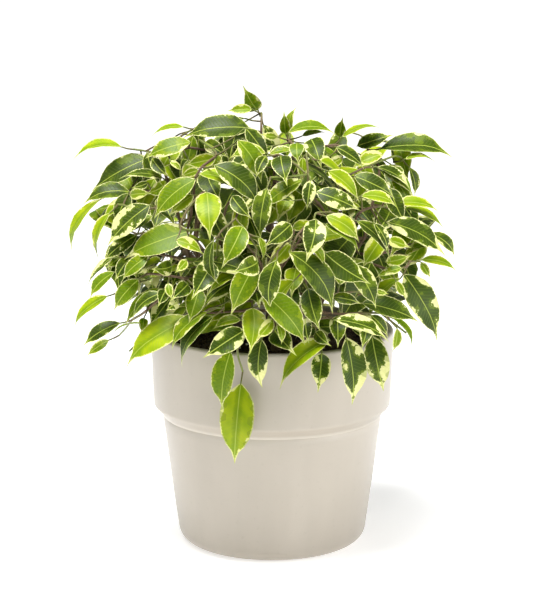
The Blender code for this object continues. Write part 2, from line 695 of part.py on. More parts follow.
def twig_path(seat, middle, end, stalks=()):
    """Evenly spaced points from a seat to a twig's end, bending past the stalks it bears."""
    start = seat.point + seat.normal * TWIG_COLLAR
    pull = middle * 2 - (start + end) / 2
    pull = middle.lerp(pull, TWIG_PULL)
    length = (pull - start).length + (end - pull).length
    steps = max(FEWEST_STEPS, round(length / PATH_STEP))
    curve = [bezier(start, pull, end, step / steps) for step in range(steps + 1)]
    for _ in range(TWIG_BENDINGS if stalks else 0):
        curve = eased(bent_towards(curve, stalks))
    return [seat.point, *curve]


def eased(curve):
    """A curve with its small bends smoothed out, its ends held."""
    for _ in range(TWIG_EASING):
        inner = [before.lerp(after, 0.5).lerp(point, 0.5)
                 for before, point, after in zip(curve, curve[1:], curve[2:])]
        curve = [curve[0], *inner, curve[-1]]
    return curve


def bent_towards(curve, stalks):
    """A curve drawn smoothly towards the stalks near it, its ends held."""
    last = len(curve) - 1
    pulls = []
    for stalk in stalks:
        nearest = min(range(last + 1), key=lambda index: (curve[index] - stalk).length)
        pulls.append((nearest, stalk - curve[nearest]))
    bent = []
    for index, point in enumerate(curve):
        weights = [math.exp(-(((index - nearest) * PATH_STEP / TWIG_SUPPLENESS) ** 2))
                   for nearest, _ in pulls]
        shift = sum((pull * weight for weight, (_, pull) in zip(weights, pulls)), Vector())
        held = min(1.0, index / (TWIG_HELD_FOOT * last))
        held *= min(1.0, (last - index) / (TWIG_HELD_END * last))
        bent.append(point + shift * (TWIG_PULL * held / max(1.0, sum(weights))))
    return bent


def points_of(paths):
    """The points of the twigs so far, ready for a search of the nearest."""
    points = [point for path in paths for point in path]
    tree = KDTree(len(points))
    for index, point in enumerate(points):
        tree.insert(point, index)
    tree.balance()
    return tree


def path_gap(path, placed):
    """The least distance between a path and the twigs so far, which may be none."""
    return min((placed.find(point)[2] or TWIG_CLEARANCE * 2) for point in path)


def stem_gap(path, stems):
    """The least distance between a twig's path and the stems, past the twig's own foot."""
    return min(stems.find_nearest(point)[3] for point in path[SLEEVE_STEPS:])


def choose_seat(frame, middle, end, stalks=()):
    """The nearest free seat for a twig, its path, and its gap from the other twigs and stems."""
    def cost(seat):
        towards = middle - seat.point
        lean = towards.normalized().dot(seat.normal)
        climb = max(0.0, seat.point.z - max(middle.z, end.z) - CLIMB_ALLOWED)
        return towards.length + LEAN_COST * (1 - lean) + CLIMB_COST * climb

    best = None
    placed = points_of(frame.paths)
    for seat in sorted(frame.seats, key=cost)[:SEATS_TRIED]:
        if any((seat.point - other.point).length < SEAT_SPACING for other in frame.used):
            continue
        path = twig_path(seat, middle, end, stalks)
        gap = min(path_gap(path, placed), stem_gap(path, frame.stems) + TWIG_FOOT_RADIUS)
        if best is None or gap > best[2]:
            best = (seat, path, gap)
        if gap > TWIG_CLEARANCE:
            break
    return best


def stalk_start(blade):
    """Where a blade's stalk leaves its twig: back along the leaf, and inwards."""
    along = (blade.tip - blade.base).normalized()
    lift = blade.normal * STALK_DROP
    inward = (CROWN_CENTRE - blade.base).normalized() * STALK_INWARD
    return blade.base - (along + lift - inward).normalized() * STALK_LENGTH


def front_twigs(frame):
    """A twig for each spray of the photo, through the feet of its leaves."""
    twigs = []
    for name, leaves in FRONT_SPRAYS.items():
        starts = [stalk_start(front_blade(leaf, 0.0)) for leaf in leaves]
        end = starts[-1]
        middle = sum(starts, Vector()) / len(starts)
        seat, path, _ = choose_seat(frame, middle, end, starts)
        frame.used.append(seat)
        frame.paths.append(path)
        twigs.append(Twig(name, path, leaves, seat))
    return twigs


def hidden_twigs(frame, chance):
    """Twigs that fill the crown's inside, sides and back, tier by tier."""
    twigs = []
    for tier in HIDDEN_TIERS:
        for number in range(tier.count):
            turn = tier.first + (tier.last - tier.first) * number / (tier.count - 1)
            best = None
            for _ in range(TWIG_TRIES):
                seat, path, gap = hidden_path(tier, turn, frame, chance)
                if best is None or gap > best[2]:
                    best = (seat, path, gap)
                if gap > TWIG_CLEARANCE:
                    break
            frame.used.append(best[0])
            frame.paths.append(best[1])
            twigs.append(Twig(f"spray_{tier.name}_{number + 1}", best[1], None, best[0]))
    return twigs


def hidden_path(tier, turn, frame, chance):
    """A seat and a path for one hidden twig near its place in the tier."""
    turn = math.radians(turn + chance.uniform(-TURN_SPREAD, TURN_SPREAD))
    rise = math.radians(tier.rise + chance.uniform(-RISE_SPREAD, RISE_SPREAD))
    height = CROWN_RISE if rise > 0 else CROWN_DROP
    reach = Vector((math.cos(turn) * math.cos(rise) * CROWN_WIDTH,
                    math.sin(turn) * math.cos(rise) * CROWN_DEPTH,
                    math.sin(rise) * height)) * tier.size
    end = CROWN_CENTRE + reach
    lift = Vector((0, 0, TWIG_LIFT + TWIG_LIFT_SPREAD * chance.random()))
    return choose_seat(frame, CROWN_CENTRE.lerp(end, TWIG_MIDDLE) + lift, end)


def hidden_blade(path, share, number, chance):
    """A leaf on a hidden twig, alternating sides and hanging outwards."""
    index = min(len(path) - 2, max(1, round(share * (len(path) - 1))))
    point = path[index]
    along = (path[index + 1] - path[index - 1]).normalized()
    outward = (point - CROWN_CENTRE).normalized()
    side = along.cross(Vector((0, 0, 1))).normalized() * (1 if number % 2 else -1)
    scatter = Vector((chance.uniform(-1, 1), chance.uniform(-1, 1), chance.uniform(-1, 1)))
    droop = Vector((0, 0, chance.uniform(*DROOPS)))
    heading = along * AHEAD + outward * AHEAD + side * chance.uniform(*SIDE_LEANS)
    heading = (heading + droop + scatter * SCATTER).normalized()
    kinds = YOUNG_KINDS if share > YOUNG_FROM else OLD_KINDS
    kind = chance.choice(kinds)
    length = chance.uniform(*(YOUNG_LENGTHS if kind == LIME else FULL_LENGTHS))
    stalk = STALK_LENGTH * chance.uniform(*STALK_LENGTHS)
    foot = point + (heading + outward * STALK_OUTWARD).normalized() * stalk
    upward = Vector((0, 0, 1)) + outward * FACING_OUT + scatter * TILT
    normal = (upward - heading * upward.dot(heading)).normalized()
    return Blade(foot, foot + heading * length, normal, length * SLENDERNESS, kind)


def inside_outline(blade):
    """Whether a hidden leaf stays within the crown as the photo shows it, and off the pot."""
    middle = (blade.base + blade.tip) / 2
    for point, allowance in ((blade.tip, 1.0), (middle, MIDDLE_ALLOWANCE)):
        x, y = seen_at(point)
        across = (x - OUTLINE_MIDDLE_PX[0]) / OUTLINE_HALF_PX[0]
        down = (y - OUTLINE_MIDDLE_PX[1]) / OUTLINE_HALF_PX[1]
        if across ** 2 + down ** 2 > allowance ** 2 and point.y < BACK_FROM:
            return False
        if across ** 2 > 1 or down < -1:
            return False
        if point.y < min(0.0, dome_depth(x, y)) + BEHIND_FRONT:
            return False
    if abs(blade.tip.y) > CROWN_DEPTH * DEPTH_ALLOWANCE or blade.tip.z < LOWEST_TIP:
        return False
    for point in (blade.base, middle, blade.tip):
        near_pot = math.hypot(point.x, point.y) < outer_radius(point.z) + POT_CLEARANCE / 2
        if near_pot and point.z < RIM_HEIGHT + POT_CLEARANCE / 2:
            return False
    return True


def stalk_shell(blade, root):
    """A thin stand-in for a stalk, from just outside its twig to its blade."""
    towards = (blade.base - root).normalized()
    return rod(root + towards * TWIG_SURFACE, blade.base - towards * ROD_INSET,
               STALK_RADIUS + STALK_GAP)


def nearest_on(path, point, taken):
    """The index on a path nearest a point, kept a node's spacing from those taken."""
    inner = range(NODE_MARGIN, len(path) - NODE_MARGIN)
    ranked = sorted(inner, key=lambda index: (path[index] - point).length)
    for index in ranked:
        if all((path[index] - path[other]).length > NODE_SPACING for other in taken):
            return index
    return None


def try_blade(crowd, blade, root, twig_name):
    """Whether a blade and its stalk are clear, and their shells if so."""
    shells = [shell(*blade_sections(blade, LEAF_GAP)), stalk_shell(blade, root)]
    towards = (blade.base - root).normalized()
    collar = rod(root + towards * ROD_INSET, root + towards * STALK_FREE,
                 TWIG_FOOT_RADIUS + STALK_GAP)
    if all(crowd.clear_of(*part) for part in shells) and crowd.clear_of(*collar, twig_name):
        return [*shells, collar]
    return None


def grow_front_leaves(twigs, crowd, grown):
    """The photo's leaves, broad ones first: each keeps its pixels and moves only in depth."""
    pushes = [0.0] + [way * step * PUSH_STEP for step in range(1, PUSH_STEPS) for way in (1, -1)]
    wanted = [(twig, leaf) for twig in twigs for leaf in twig.leaves]
    for twig, leaf in sorted(wanted, key=lambda item: -item[1].breadth):
        ends_twig = leaf is twig.leaves[-1]
        for push in pushes:
            blade = front_blade(leaf, push)
            if settle(crowd, twig, blade, grown[twig.name], ends_twig):
                break


def settle(crowd, twig, blade, grown, ends_twig):
    """Add a blade to its twig where it and its stalk are clear of everything."""
    taken = [index for index, _ in grown]
    index = len(twig.path) - 1
    if not ends_twig:
        index = nearest_on(twig.path, stalk_start(blade), taken)
    if index is None or (twig.path[index] - blade.base).length > STALK_LIMIT:
        return False
    shells = try_blade(crowd, blade, twig.path[index], twig.name)
    if not shells:
        return False
    for part in shells:
        crowd.add(*part)
    grown.append((index, blade))
    return True


def grow_hidden_leaves(twig, crowd, chance, wanted, shares, grown):
    """Leaves that the photo doesn't show one by one, where there is room."""
    for number in range(wanted):
        share = shares[0] + (shares[1] - shares[0]) * number / wanted
        ends_twig = share == 1.0
        for _ in range(HIDDEN_TRIES):
            blade = hidden_blade(twig.path, share, number, chance)
            if inside_outline(blade) and settle(crowd, twig, blade, grown, ends_twig):
                break


def outline_share(x, y):
    """How far out a pixel lies from the middle of the crown, as a share of its outline."""
    return math.hypot((x - OUTLINE_MIDDLE_PX[0]) / OUTLINE_HALF_PX[0],
                      (y - OUTLINE_MIDDLE_PX[1]) / OUTLINE_HALF_PX[1])


def grow_gap_leaves(twigs, crowd, chance, grown):
    """Leaves deeper in the crown, wherever a line of sight would go right through it."""
    for y in range(GAP_TOP, GAP_BOTTOM, GAP_STEP):
        for x in range(GAP_LEFT, GAP_RIGHT, GAP_STEP):
            if outline_share(x, y) > GAP_OUTLINE or not crowd.open_at(x, y):
                continue
            for _ in range(GAP_TRIES):
                if try_gap_leaf(x, y, twigs, crowd, chance, grown):
                    break


def try_gap_leaf(x, y, twigs, crowd, chance, grown):
    """Whether a leaf across the line of sight at a pixel finds a twig to grow from."""
    lean = chance.uniform(*GAP_LEANS)
    half = chance.uniform(*GAP_HALF_LENGTHS)
    leaf = Leaf(x - lean, y - half, x + lean, y + half, chance.uniform(*GAP_BREADTHS),
                chance.choice(OLD_KINDS))
    blade = front_blade(leaf, chance.uniform(*GAP_DEPTHS))
    near = sorted(twigs, key=lambda twig: min((point - blade.base).length for point in twig.path))
    return any(settle(crowd, twig, blade, grown[twig.name], False) for twig in near[:GAP_TWIGS])


def twig_stations(path, grown):
    """Path distances at which the twig gets a section, and the leaf that each gap carries."""
    distance = [0.0]
    for before, after in zip(path, path[1:]):
        distance.append(distance[-1] + (after - before).length)
    end = len(path) - 1
    marks = [(0.0, None), (COLLAR_STATION, None)]
    for index, blade in sorted(grown, key=lambda item: item[0]):
        if index == end:
            continue
        while distance[index] - marks[-1][0] > TWIG_STEP * LONGEST_STEP:
            marks.append((marks[-1][0] + TWIG_STEP, None))
        marks.append((distance[index] - NODE_LENGTH / 2, blade))
        marks.append((distance[index] + NODE_LENGTH / 2, None))
    while distance[-1] - marks[-1][0] > TWIG_STEP * LONGEST_STEP:
        marks.append((marks[-1][0] + TWIG_STEP, None))
    if distance[-1] - marks[-1][0] > SHORTEST_END:
        marks.append((distance[-1], None))
    return distance, marks


def point_at(path, distance, wanted):
    """The point of a path at a distance along it."""
    for index in range(1, len(path)):
        if distance[index] >= wanted:
            part = (wanted - distance[index - 1]) / (distance[index] - distance[index - 1])
            return path[index - 1].lerp(path[index], part)
    return path[-1]


def matched(corners, section):
    """A section's corners in the order that twists least from a face's corners."""
    corner_middle = sum(corners, Vector()) / CORNERS
    section_middle = sum(section, Vector()) / CORNERS

    def twist(offset):
        total = 0.0
        for index, corner in enumerate(corners):
            reach = (corner - corner_middle).normalized()
            other = (section[(index + offset) % CORNERS] - section_middle).normalized()
            total += (reach - other).length
        return total

    offset = min(range(CORNERS), key=twist)
    return [(index + offset) % CORNERS for index in range(CORNERS)]


def make_spray(twig, grown):
    """One closed solid: the twig, with each leaf drawn out of one of its faces."""
    distance, marks = twig_stations(twig.path, grown)
    path = [point_at(twig.path, distance, mark[0]) for mark in marks]
    radii = [TWIG_FOOT_RADIUS + (TWIG_TIP_RADIUS - TWIG_FOOT_RADIUS) * mark[0] / distance[-1]
             for mark in marks]
    rings = rings_along(path, radii, CORNERS)
    rings[0] = seat_ring(twig.seat, rings[0], radii[0])
    points = [point for ring in rings for point in ring]
    end_face = tuple(range(len(points) - CORNERS, len(points)))
    faces = [(2, 1, 0)]
    for number in range(len(rings) - 1):
        low = number * CORNERS
        sides = band(range(low, low + CORNERS), range(low + CORNERS, low + 2 * CORNERS))
        blade = marks[number][1]
        if blade:
            chosen = facing(points, sides, blade.base)
            sides.remove(chosen)
            draw_leaf(points, faces, chosen, blade)
        faces += sides
    terminal = [blade for index, blade in grown if index == len(twig.path) - 1]
    if terminal:
        draw_leaf(points, faces, end_face, terminal[0])
    else:
        faces.append(end_face)
    return place(twig.name, mesh_of(twig.name, points, faces), "fig_leaf")


def facing(points, faces, target):
    """The face that looks most towards a point."""
    def look(face):
        first, second, third = (points[index] for index in face)
        towards = (target - (first + second + third) / 3).normalized()
        return (second - first).cross(third - first).normalized().dot(towards)

    return max(faces, key=look)


def seat_ring(seat, ring, radius):
    """A twig's first section, laid flat against the stem that carries it."""
    flat = []
    for point in ring:
        reach = point - seat.point
        reach = (reach - seat.normal * reach.dot(seat.normal)).normalized()
        flat.append(seat.point + reach * radius)
    return flat


def draw_leaf(points, faces, face, blade):
    """Draw a stalk and a blade out of a face of the twig."""
    sections, tip = blade_sections(blade)
    order = matched([points[index] for index in face], sections[0])
    lower = list(face)
    for section in sections:
        upper = list(range(len(points), len(points) + CORNERS))
        points += [section[corner] for corner in order]
        faces += band(lower, upper)
        lower = upper
    points.append(tip)
    for corner in range(CORNERS):
        faces.append((lower[corner], lower[(corner + 1) % CORNERS], len(points) - 1))


def main():
    """Build every piece."""
    clear_scene()
    chance = random.Random(SEED)
    stem_paths = [stem_path(stem) for stem in STEMS]
    pot = make_pot()
    soil = make_soil(stem_paths, chance)
    crowd = Crowd()
    crowd.add(*mesh_faces(pot))
    crowd.add(*mesh_faces(soil))
    stem_points, stem_faces = [], []
    for number, (path, radii) in enumerate(stem_paths, 1):
        stem = place(f"stem_{number}", tube(f"stem_{number}", path, radii, STEM_SIDES), "fig_bark")
        points, faces = mesh_faces(stem)
        crowd.add(points, faces)
        stem_faces += [[index + len(stem_points) for index in face] for face in faces]
        stem_points += points
    frame = Frame(seats_on(stem_paths), [], [], BVHTree.FromPolygons(stem_points, stem_faces))
    front = front_twigs(frame)
    hidden = hidden_twigs(frame, chance)
    for twig in front + hidden:
        for start in range(0, len(twig.path) - 1, SLEEVE_STEPS):
            end = min(start + SLEEVE_STEPS, len(twig.path) - 1)
            sleeve = rod(twig.path[start], twig.path[end], TWIG_FOOT_RADIUS + TWIG_SLEEVE)
            crowd.add(*sleeve, twig.name)
    grown = {twig.name: [] for twig in front + hidden}
    grow_front_leaves(front, crowd, grown)
    for twig in hidden:
        grow_hidden_leaves(twig, crowd, chance, HIDDEN_LEAVES, HIDDEN_SHARES, grown[twig.name])
    grow_gap_leaves(front + hidden, crowd, chance, grown)
    for twig in front:
        grow_hidden_leaves(twig, crowd, chance, FILLING_LEAVES, FILLING_SHARES, grown[twig.name])
    for twig in front + hidden:
        make_spray(twig, grown[twig.name])


if __name__ == "__main__":
    main()
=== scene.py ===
"""Looks of a potted weeping fig with cream-edged leaves, in a stepped ceramic pot."""

import math
import random

import bmesh
import bpy
import numpy as np
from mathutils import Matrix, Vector


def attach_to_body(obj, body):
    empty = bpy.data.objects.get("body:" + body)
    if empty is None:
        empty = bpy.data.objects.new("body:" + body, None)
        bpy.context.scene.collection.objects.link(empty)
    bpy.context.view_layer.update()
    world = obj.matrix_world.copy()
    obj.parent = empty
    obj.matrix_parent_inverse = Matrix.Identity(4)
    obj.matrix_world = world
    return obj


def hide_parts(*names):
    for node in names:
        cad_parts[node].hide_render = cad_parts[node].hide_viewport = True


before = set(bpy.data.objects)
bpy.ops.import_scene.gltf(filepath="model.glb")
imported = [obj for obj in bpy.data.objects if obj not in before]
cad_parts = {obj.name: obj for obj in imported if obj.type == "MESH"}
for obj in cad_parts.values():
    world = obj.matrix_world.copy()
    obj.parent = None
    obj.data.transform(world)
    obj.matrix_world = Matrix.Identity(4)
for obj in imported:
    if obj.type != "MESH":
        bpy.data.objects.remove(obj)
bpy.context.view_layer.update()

# Photographer's view
EYE = (0.0011, -1.25, 0.4001)
EYE_PITCH = 0.2043
LENS_MM = 133.0
SENSOR_MM = 36.0

# Studio: watts and metres
FLOOR_REACH = 16.0
FLOOR_GLOW = ((0.50, 0.50, 0.50), (0.92, 0.92, 0.92))
FLOOR_GLOW_SPREAD = (0.1, 2.2)
FLOOR_NOISE = (3.0, 1.0, 0.5)
FLOOR_WHITE = ((0.90, 0.90, 0.90), (0.92, 0.92, 0.92))
SKY_STRENGTH = 0.16
LAMPS = (
    ("top_box", (-0.20, -0.30, 1.35), (0.8, 0.6), 30.0),
    ("left_box", (-1.30, -0.70, 0.60), (0.6, 0.8), 1.9),
    ("right_box", (1.30, -0.50, 0.55), (0.6, 0.8), 9.5),
)
LAMP_TARGET = (0.0, 0.0, 0.13)

# Blade template: shares of a blade's length, and the share of its full breadth there
OUTLINE = ((0.03, 0.20), (0.10, 0.58), (0.20, 0.88), (0.33, 1.0), (0.47, 0.99), (0.61, 0.85),
           (0.73, 0.57), (0.82, 0.23), (0.91, 0.09))
ACROSS = (-1.0, -0.5, 0.0, 0.5, 1.0)
SWELL_POWER = 0.4
TEMPLATE_BREADTH = 0.4
TEMPLATE_DEPTH = 0.01
LEAF_THICKNESS = 0.00028
CAD_ARCH = 0.11

# How each blade is bent: least and greatest
ARCHES = (0.70, 1.35)
FOLDS = (0.08, 0.34)
DROOPS = (0.05, 0.60)
WAVES = (0.008, 0.028)
TWISTS = (-0.7, 0.7)
DROOP_FROM = 0.55
TWIST_FROM = 0.25
SWAY = 0.10
RIPPLES = 17.0
RIPPLE_START = 40.0
RIPPLE_SLANT = 1.7

# A CAD leaf is rings of corners behind its tip, and tells its kind by its depth at the midrib
BLADE_CORNERS = 3
BLADE_RINGS = 4
KIND_DEPTHS = (0.00070, 0.00080, 0.00090, 0.00100)
WELD = 0.00001
KEEL_SHARE = 0.6

# Twigs, stalks and stems
TWIG_SHARE = 0.75
TWIG_SIDES = 6
TWIG_STEPS = 2
TWIG_ROOTING = 0.0012
STALK_RADIUS = 0.00046
STALK_TAPER = (1.2, 1.0, 0.9, 0.4)
STALK_AGES = (0.35, 0.20, 0.05, 0.0)
STALK_INSIDE = 0.0006
STALK_BEND = 0.05
STALK_MIDDLE = 0.55
STALK_ENTRY = 0.05
STALK_ENTRY_RISE = 0.015
STEM_CAD_SIDES = 8
STEM_SIDES = 14
STEM_STEPS = 6
BARK_RELIEF = 0.0009
BARK_LUMPS = (140.0, 3.0, 0.6)
SCAR_PITCH = 520.0
SCAR_SLANT = 60.0
SCAR_EDGE = 0.86
SCAR_RISE = 3.0
MM = 1000.0

# Pot outline, radius and height. An arc is its first and last angle and its steps
POT_SIDES = 128
FOOT_RADIUS = 0.0440
FOOT_ROUNDING = 0.0086
FOOT_ROUNDING_MIDDLE = 0.0461
FOOT_ARC = (-90, -4, 8)
BODY_SIDE = ((0.0590, 0.0400), (0.0628, 0.0700), (0.0632, 0.0742))
STEP_GROOVE = ((0.0630, 0.0746), (0.0630, 0.0750), (0.0636, 0.0752))
STEP_SIDE = ((0.0641, 0.0764), (0.0650, 0.0777), (0.0664, 0.0791))
STEP_SHOULDER = (0.0652, 0.0827, 0.0034)
SHOULDER_ARC = (-35, 0, 4)
COLLAR_SIDE = ((0.0691, 0.0960), (0.0697, 0.1130))
RIM_RADIUS = 0.0700
RIM_HEIGHT = 0.1250
RIM_INSIDE = 0.0658
RIM_ROUNDING = 0.0016
RIM_ARC = (0, 90, 5)
RIM_INNER_ARC = (90, 180, 5)
INSIDE_SIDE = ((0.0640, 0.1120), (0.0576, 0.0550), (0.0515, 0.0095), (0.0450, 0.0062),
               (0.0, 0.0062))
SHARP_ANGLE = 50
# Heights between which painted shade darkens the band under the collar, how far it fades, and how
# far below it a painted highlight brightens the body
STEP_PAINTED_SHADE_BAND = (0.0745, 0.0828)
STEP_BAND_FADE = 0.0030
UNDER_STEP_LIGHT_REACH = 0.0045

# Soil: name, crumbs per square metre, least and greatest radius, seed
PEAT = ("peat_crumbs", 110000.0, 0.0006, 0.0019, 3)
PERLITE = ("perlite_grains", 2600.0, 0.0007, 0.0015, 5)
CRUMB_SIZES = ((0.5, 0.5, 0.35), (1.0, 1.0, 0.8))
CRUMB_PITS = 700.0
CRUMB_DENT = 0.9
SOIL_TOP_DEPTH = 0.006
FACING_UP = 0.7
SEED = 11

# Leaf surface, in millimetres. The kinds 0 to 3 are lime, green, dark and cream.
# A NOISE is scale, detail and roughness, and EDGES are where a thing fades in.
# A pair for MOTTLE, ROUGHNESS or WIDTH is a line's start and slope
KIND_EDGES = ((0.2, 0.8), (1.2, 1.8), (2.2, 2.8))
TORN_NOISE = (0.55, 3.0, 0.7)
BROAD_NOISE = (0.14, 1.0, 0.4)
NOISE_APART = (91.7, 37.1)
VEIN_SLANT = 0.62
VEIN_SPACING = 2.1
VEINS_APART = 5.0
VEIN_EDGES = (0.02, 0.24)
VEIN_RUN_EDGES = (0.2, 0.9)
VEIN_SHARE = 0.20
MIDRIB_EDGES = (0.14, 0.38)
MIDRIB_SHARE = 0.80
MARGIN_WIDTH = 0.33
MARGIN_WIDTH_YOUNG = 0.28
MARGIN_TEAR = 0.7
MARGIN_LEAST = 0.26
MARGIN_EDGES = (-0.10, 0.14)
TOOTH_LENGTH = 1.5
TOOTH_TEAR = 0.45
PATCH_RARITY = 0.10
PATCH_CREAM = 0.11
PATCH_TEAR = 0.30
PATCH_REACH = 12.0
HALF_TONE_WIDTH = (0.8, 1.6)
HALF_TONE_WANDER = 6.0
HALF_TONE_LEAST = -0.4
HALF_TONE_EDGES = (-0.2, 0.3)
HALF_TONE_SHARE = 0.52
STRIPE_EDGES = (1.0, 3.2)
STRIPE_SHARE = 0.55
DEEP_MOTTLE = (0.5, 1.6)
FRESH_MOTTLE = (0.5, 1.4)
CREAM_MOTTLE = (0.5, 1.2)
YOUNG_CREAM_SHARE = 0.35
BELOW_SHARE = 0.45
LEAF_ROUGHNESS = (0.38, 0.10)
LEAF_ROUGHER = (0.20, 0.05)
LEAF_COAT = 0.08

# Other surfaces: as above. SURFACE is how much each part of a relief counts, in the order that the
# material names them, and BUMP is its strength and its depth in metres
LEAF_SURFACE = (-0.6, -1.0, 0.4)
LEAF_BUMP = (0.55, 0.00025)
TWIG_GRAIN = (900.0, 3.0, 0.6)
TWIG_MOTTLE = (160.0, 2.0, 0.5)
TWIG_MOTTLE_SHARE = (-0.20, 0.5)
TWIG_AGE_EDGES = (0.05, 0.45)
TWIG_ROUGHNESS = (0.42, 0.35)
TWIG_BUMP = (0.6, 0.0003)
BARK_GRAIN_SCALES = (500.0, 130.0)
BARK_RING_SCALES = (240.0, 900.0)
BARK_GRAIN = (1.0, 4.0, 0.62)
BARK_RINGS = (1.0, 2.0, 0.5)
RING_EDGES = (0.45, 0.75)
RING_SHARE = 0.4
PORE_SCALE = 0.55
PORE_EDGES = (0.10, 0.24)
PORE_SHARE = 0.7
BARK_ROUGHNESS = (0.86, -0.16)
BARK_SURFACE = (0.7, 0.6, 0.3)
BARK_BUMP = (0.8, 0.0006)
GLAZE_CLOUD = (26.0, 3.0, 0.55)
GLAZE_SPECKLE = (420.0, 2.0, 0.5)
GLAZE_RUN_SCALES = (60.0, 9.0)
GLAZE_RUNS = (1.0, 2.0, 0.5)
RUN_EDGES = (0.40, 0.70)
RUN_SHARE = 0.25
SPECK_EDGES = (0.62, 0.78)
SPECK_SHARE = 0.22
# How much painted shade darkens the band under the collar
STEP_SHADE_SHARE = 0.85
# How much painted highlight brightens the body below the step
UNDER_STEP_LIGHT_SHARE = 0.75
RIM_SHARE = 0.30
GLAZE_ROUGHNESS = (0.36, 0.10)
GLAZE_COAT = (0.20, 0.12)
GLAZE_SURFACE = (0.8, 0.12, 0.3)
GLAZE_BUMP = (0.22, 0.0006)
SOIL_LUMPS = (210.0, 4.0, 0.65)
SOIL_GRAINS = (900.0, 2.0, 0.6)
SOIL_LUMP_EDGES = (0.3, 0.7)
SOIL_GRAIN_EDGES = (0.60, 0.72)
SOIL_GRAIN_SHARE = 0.5
SOIL_ROUGHNESS = (0.95, -0.15)
SOIL_BUMP = (0.9, 0.0012)
PERLITE_PITS = (1400.0, 2.0, 0.6)
PERLITE_ROUGHNESS = (0.80, 0.15)
PERLITE_BUMP = (0.8, 0.0003)

# Colours, linear, darkest first
LEAF_DEEP = ((0.024, 0.045, 0.002), (0.060, 0.098, 0.004))
LEAF_HALF = ((0.112, 0.178, 0.004), (0.180, 0.245, 0.008))
LEAF_FRESH = ((0.066, 0.138, 0.001), (0.162, 0.246, 0.002))
LEAF_FRESH_HALF = (0.270, 0.335, 0.007)
LEAF_YOUNG = ((0.182, 0.296, 0.001), (0.395, 0.462, 0.007))
LEAF_YOUNG_MIDDLE = (0.105, 0.200, 0.003)
LEAF_CREAM = ((0.570, 0.585, 0.180), (0.800, 0.790, 0.390))
LEAF_YOUNG_CREAM = (0.680, 0.690, 0.150)
LEAF_VEIN = (0.220, 0.290, 0.030)
LEAF_MIDRIB = (0.400, 0.480, 0.070)
LEAF_BELOW = (0.150, 0.215, 0.020)
TWIG_YOUNG = ((0.110, 0.150, 0.022), (0.210, 0.250, 0.045))
TWIG_OLD = ((0.075, 0.047, 0.026), (0.220, 0.145, 0.085))
BARK = ((0.075, 0.048, 0.028), (0.260, 0.190, 0.120))
BARK_GREY = (0.170, 0.150, 0.110)
BARK_PORE = (0.420, 0.340, 0.230)
GLAZE = ((0.428, 0.381, 0.311), (0.480, 0.432, 0.362))
GLAZE_RUN = (0.385, 0.340, 0.280)
GLAZE_SPECK = (0.340, 0.295, 0.232)
# Pale glaze on the rim; the same colour is the painted highlight below the step
GLAZE_RIM_AND_PAINTED_LIGHT = (0.560, 0.515, 0.440)
# Painted shade for the band under the collar
GLAZE_PAINTED_SHADE = (0.372, 0.327, 0.264)
SOIL_DAMP = ((0.018, 0.012, 0.008), (0.060, 0.040, 0.026))
SOIL_CRUMB = ((0.020, 0.013, 0.008), (0.075, 0.048, 0.030))
SOIL_GRIT = (0.160, 0.110, 0.070)
PERLITE_WHITE = ((0.48, 0.45, 0.40), (0.80, 0.78, 0.74))


class Value:
    """A socket that Python's operators act on. Each operation adds a Math node."""

    def __init__(self, net, socket):
        self.net = net
        self.socket = socket

    def math(self, operation, *others):
        """One Math node on this and the others."""
        return self.net.value("ShaderNodeMath", {"operation": operation},
                              dict(enumerate((self, *others))))

    def __add__(self, other):
        return self.math("ADD", other)

    def __sub__(self, other):
        return self.math("SUBTRACT", other)

    def __rsub__(self, other):
        return (self * -1.0).math("ADD", other)

    def __mul__(self, other):
        return self.math("MULTIPLY", other)

    def __truediv__(self, other):
        return self.math("DIVIDE", other)

    def __pow__(self, other):
        return self.math("POWER", other)

    def __abs__(self):
        return self.math("ABSOLUTE")

    __radd__ = __add__
    __rmul__ = __mul__

    def fraction(self):
        return self.math("FRACT")

    def sine(self):
        return self.math("SINE")

    def most(self, other):
        """The greater of this and another."""
        return self.math("MAXIMUM", other)

    def line(self, start, slope):
        """The start, and the slope times this on top."""
        return self * slope + start

    def ramp(self, low, high):
        """0 below low and 1 above high, smoothly between."""
        return self.net.value("ShaderNodeMapRange", {"interpolation_type": "SMOOTHSTEP"},
                              {"Value": self, "From Min": low, "From Max": high})


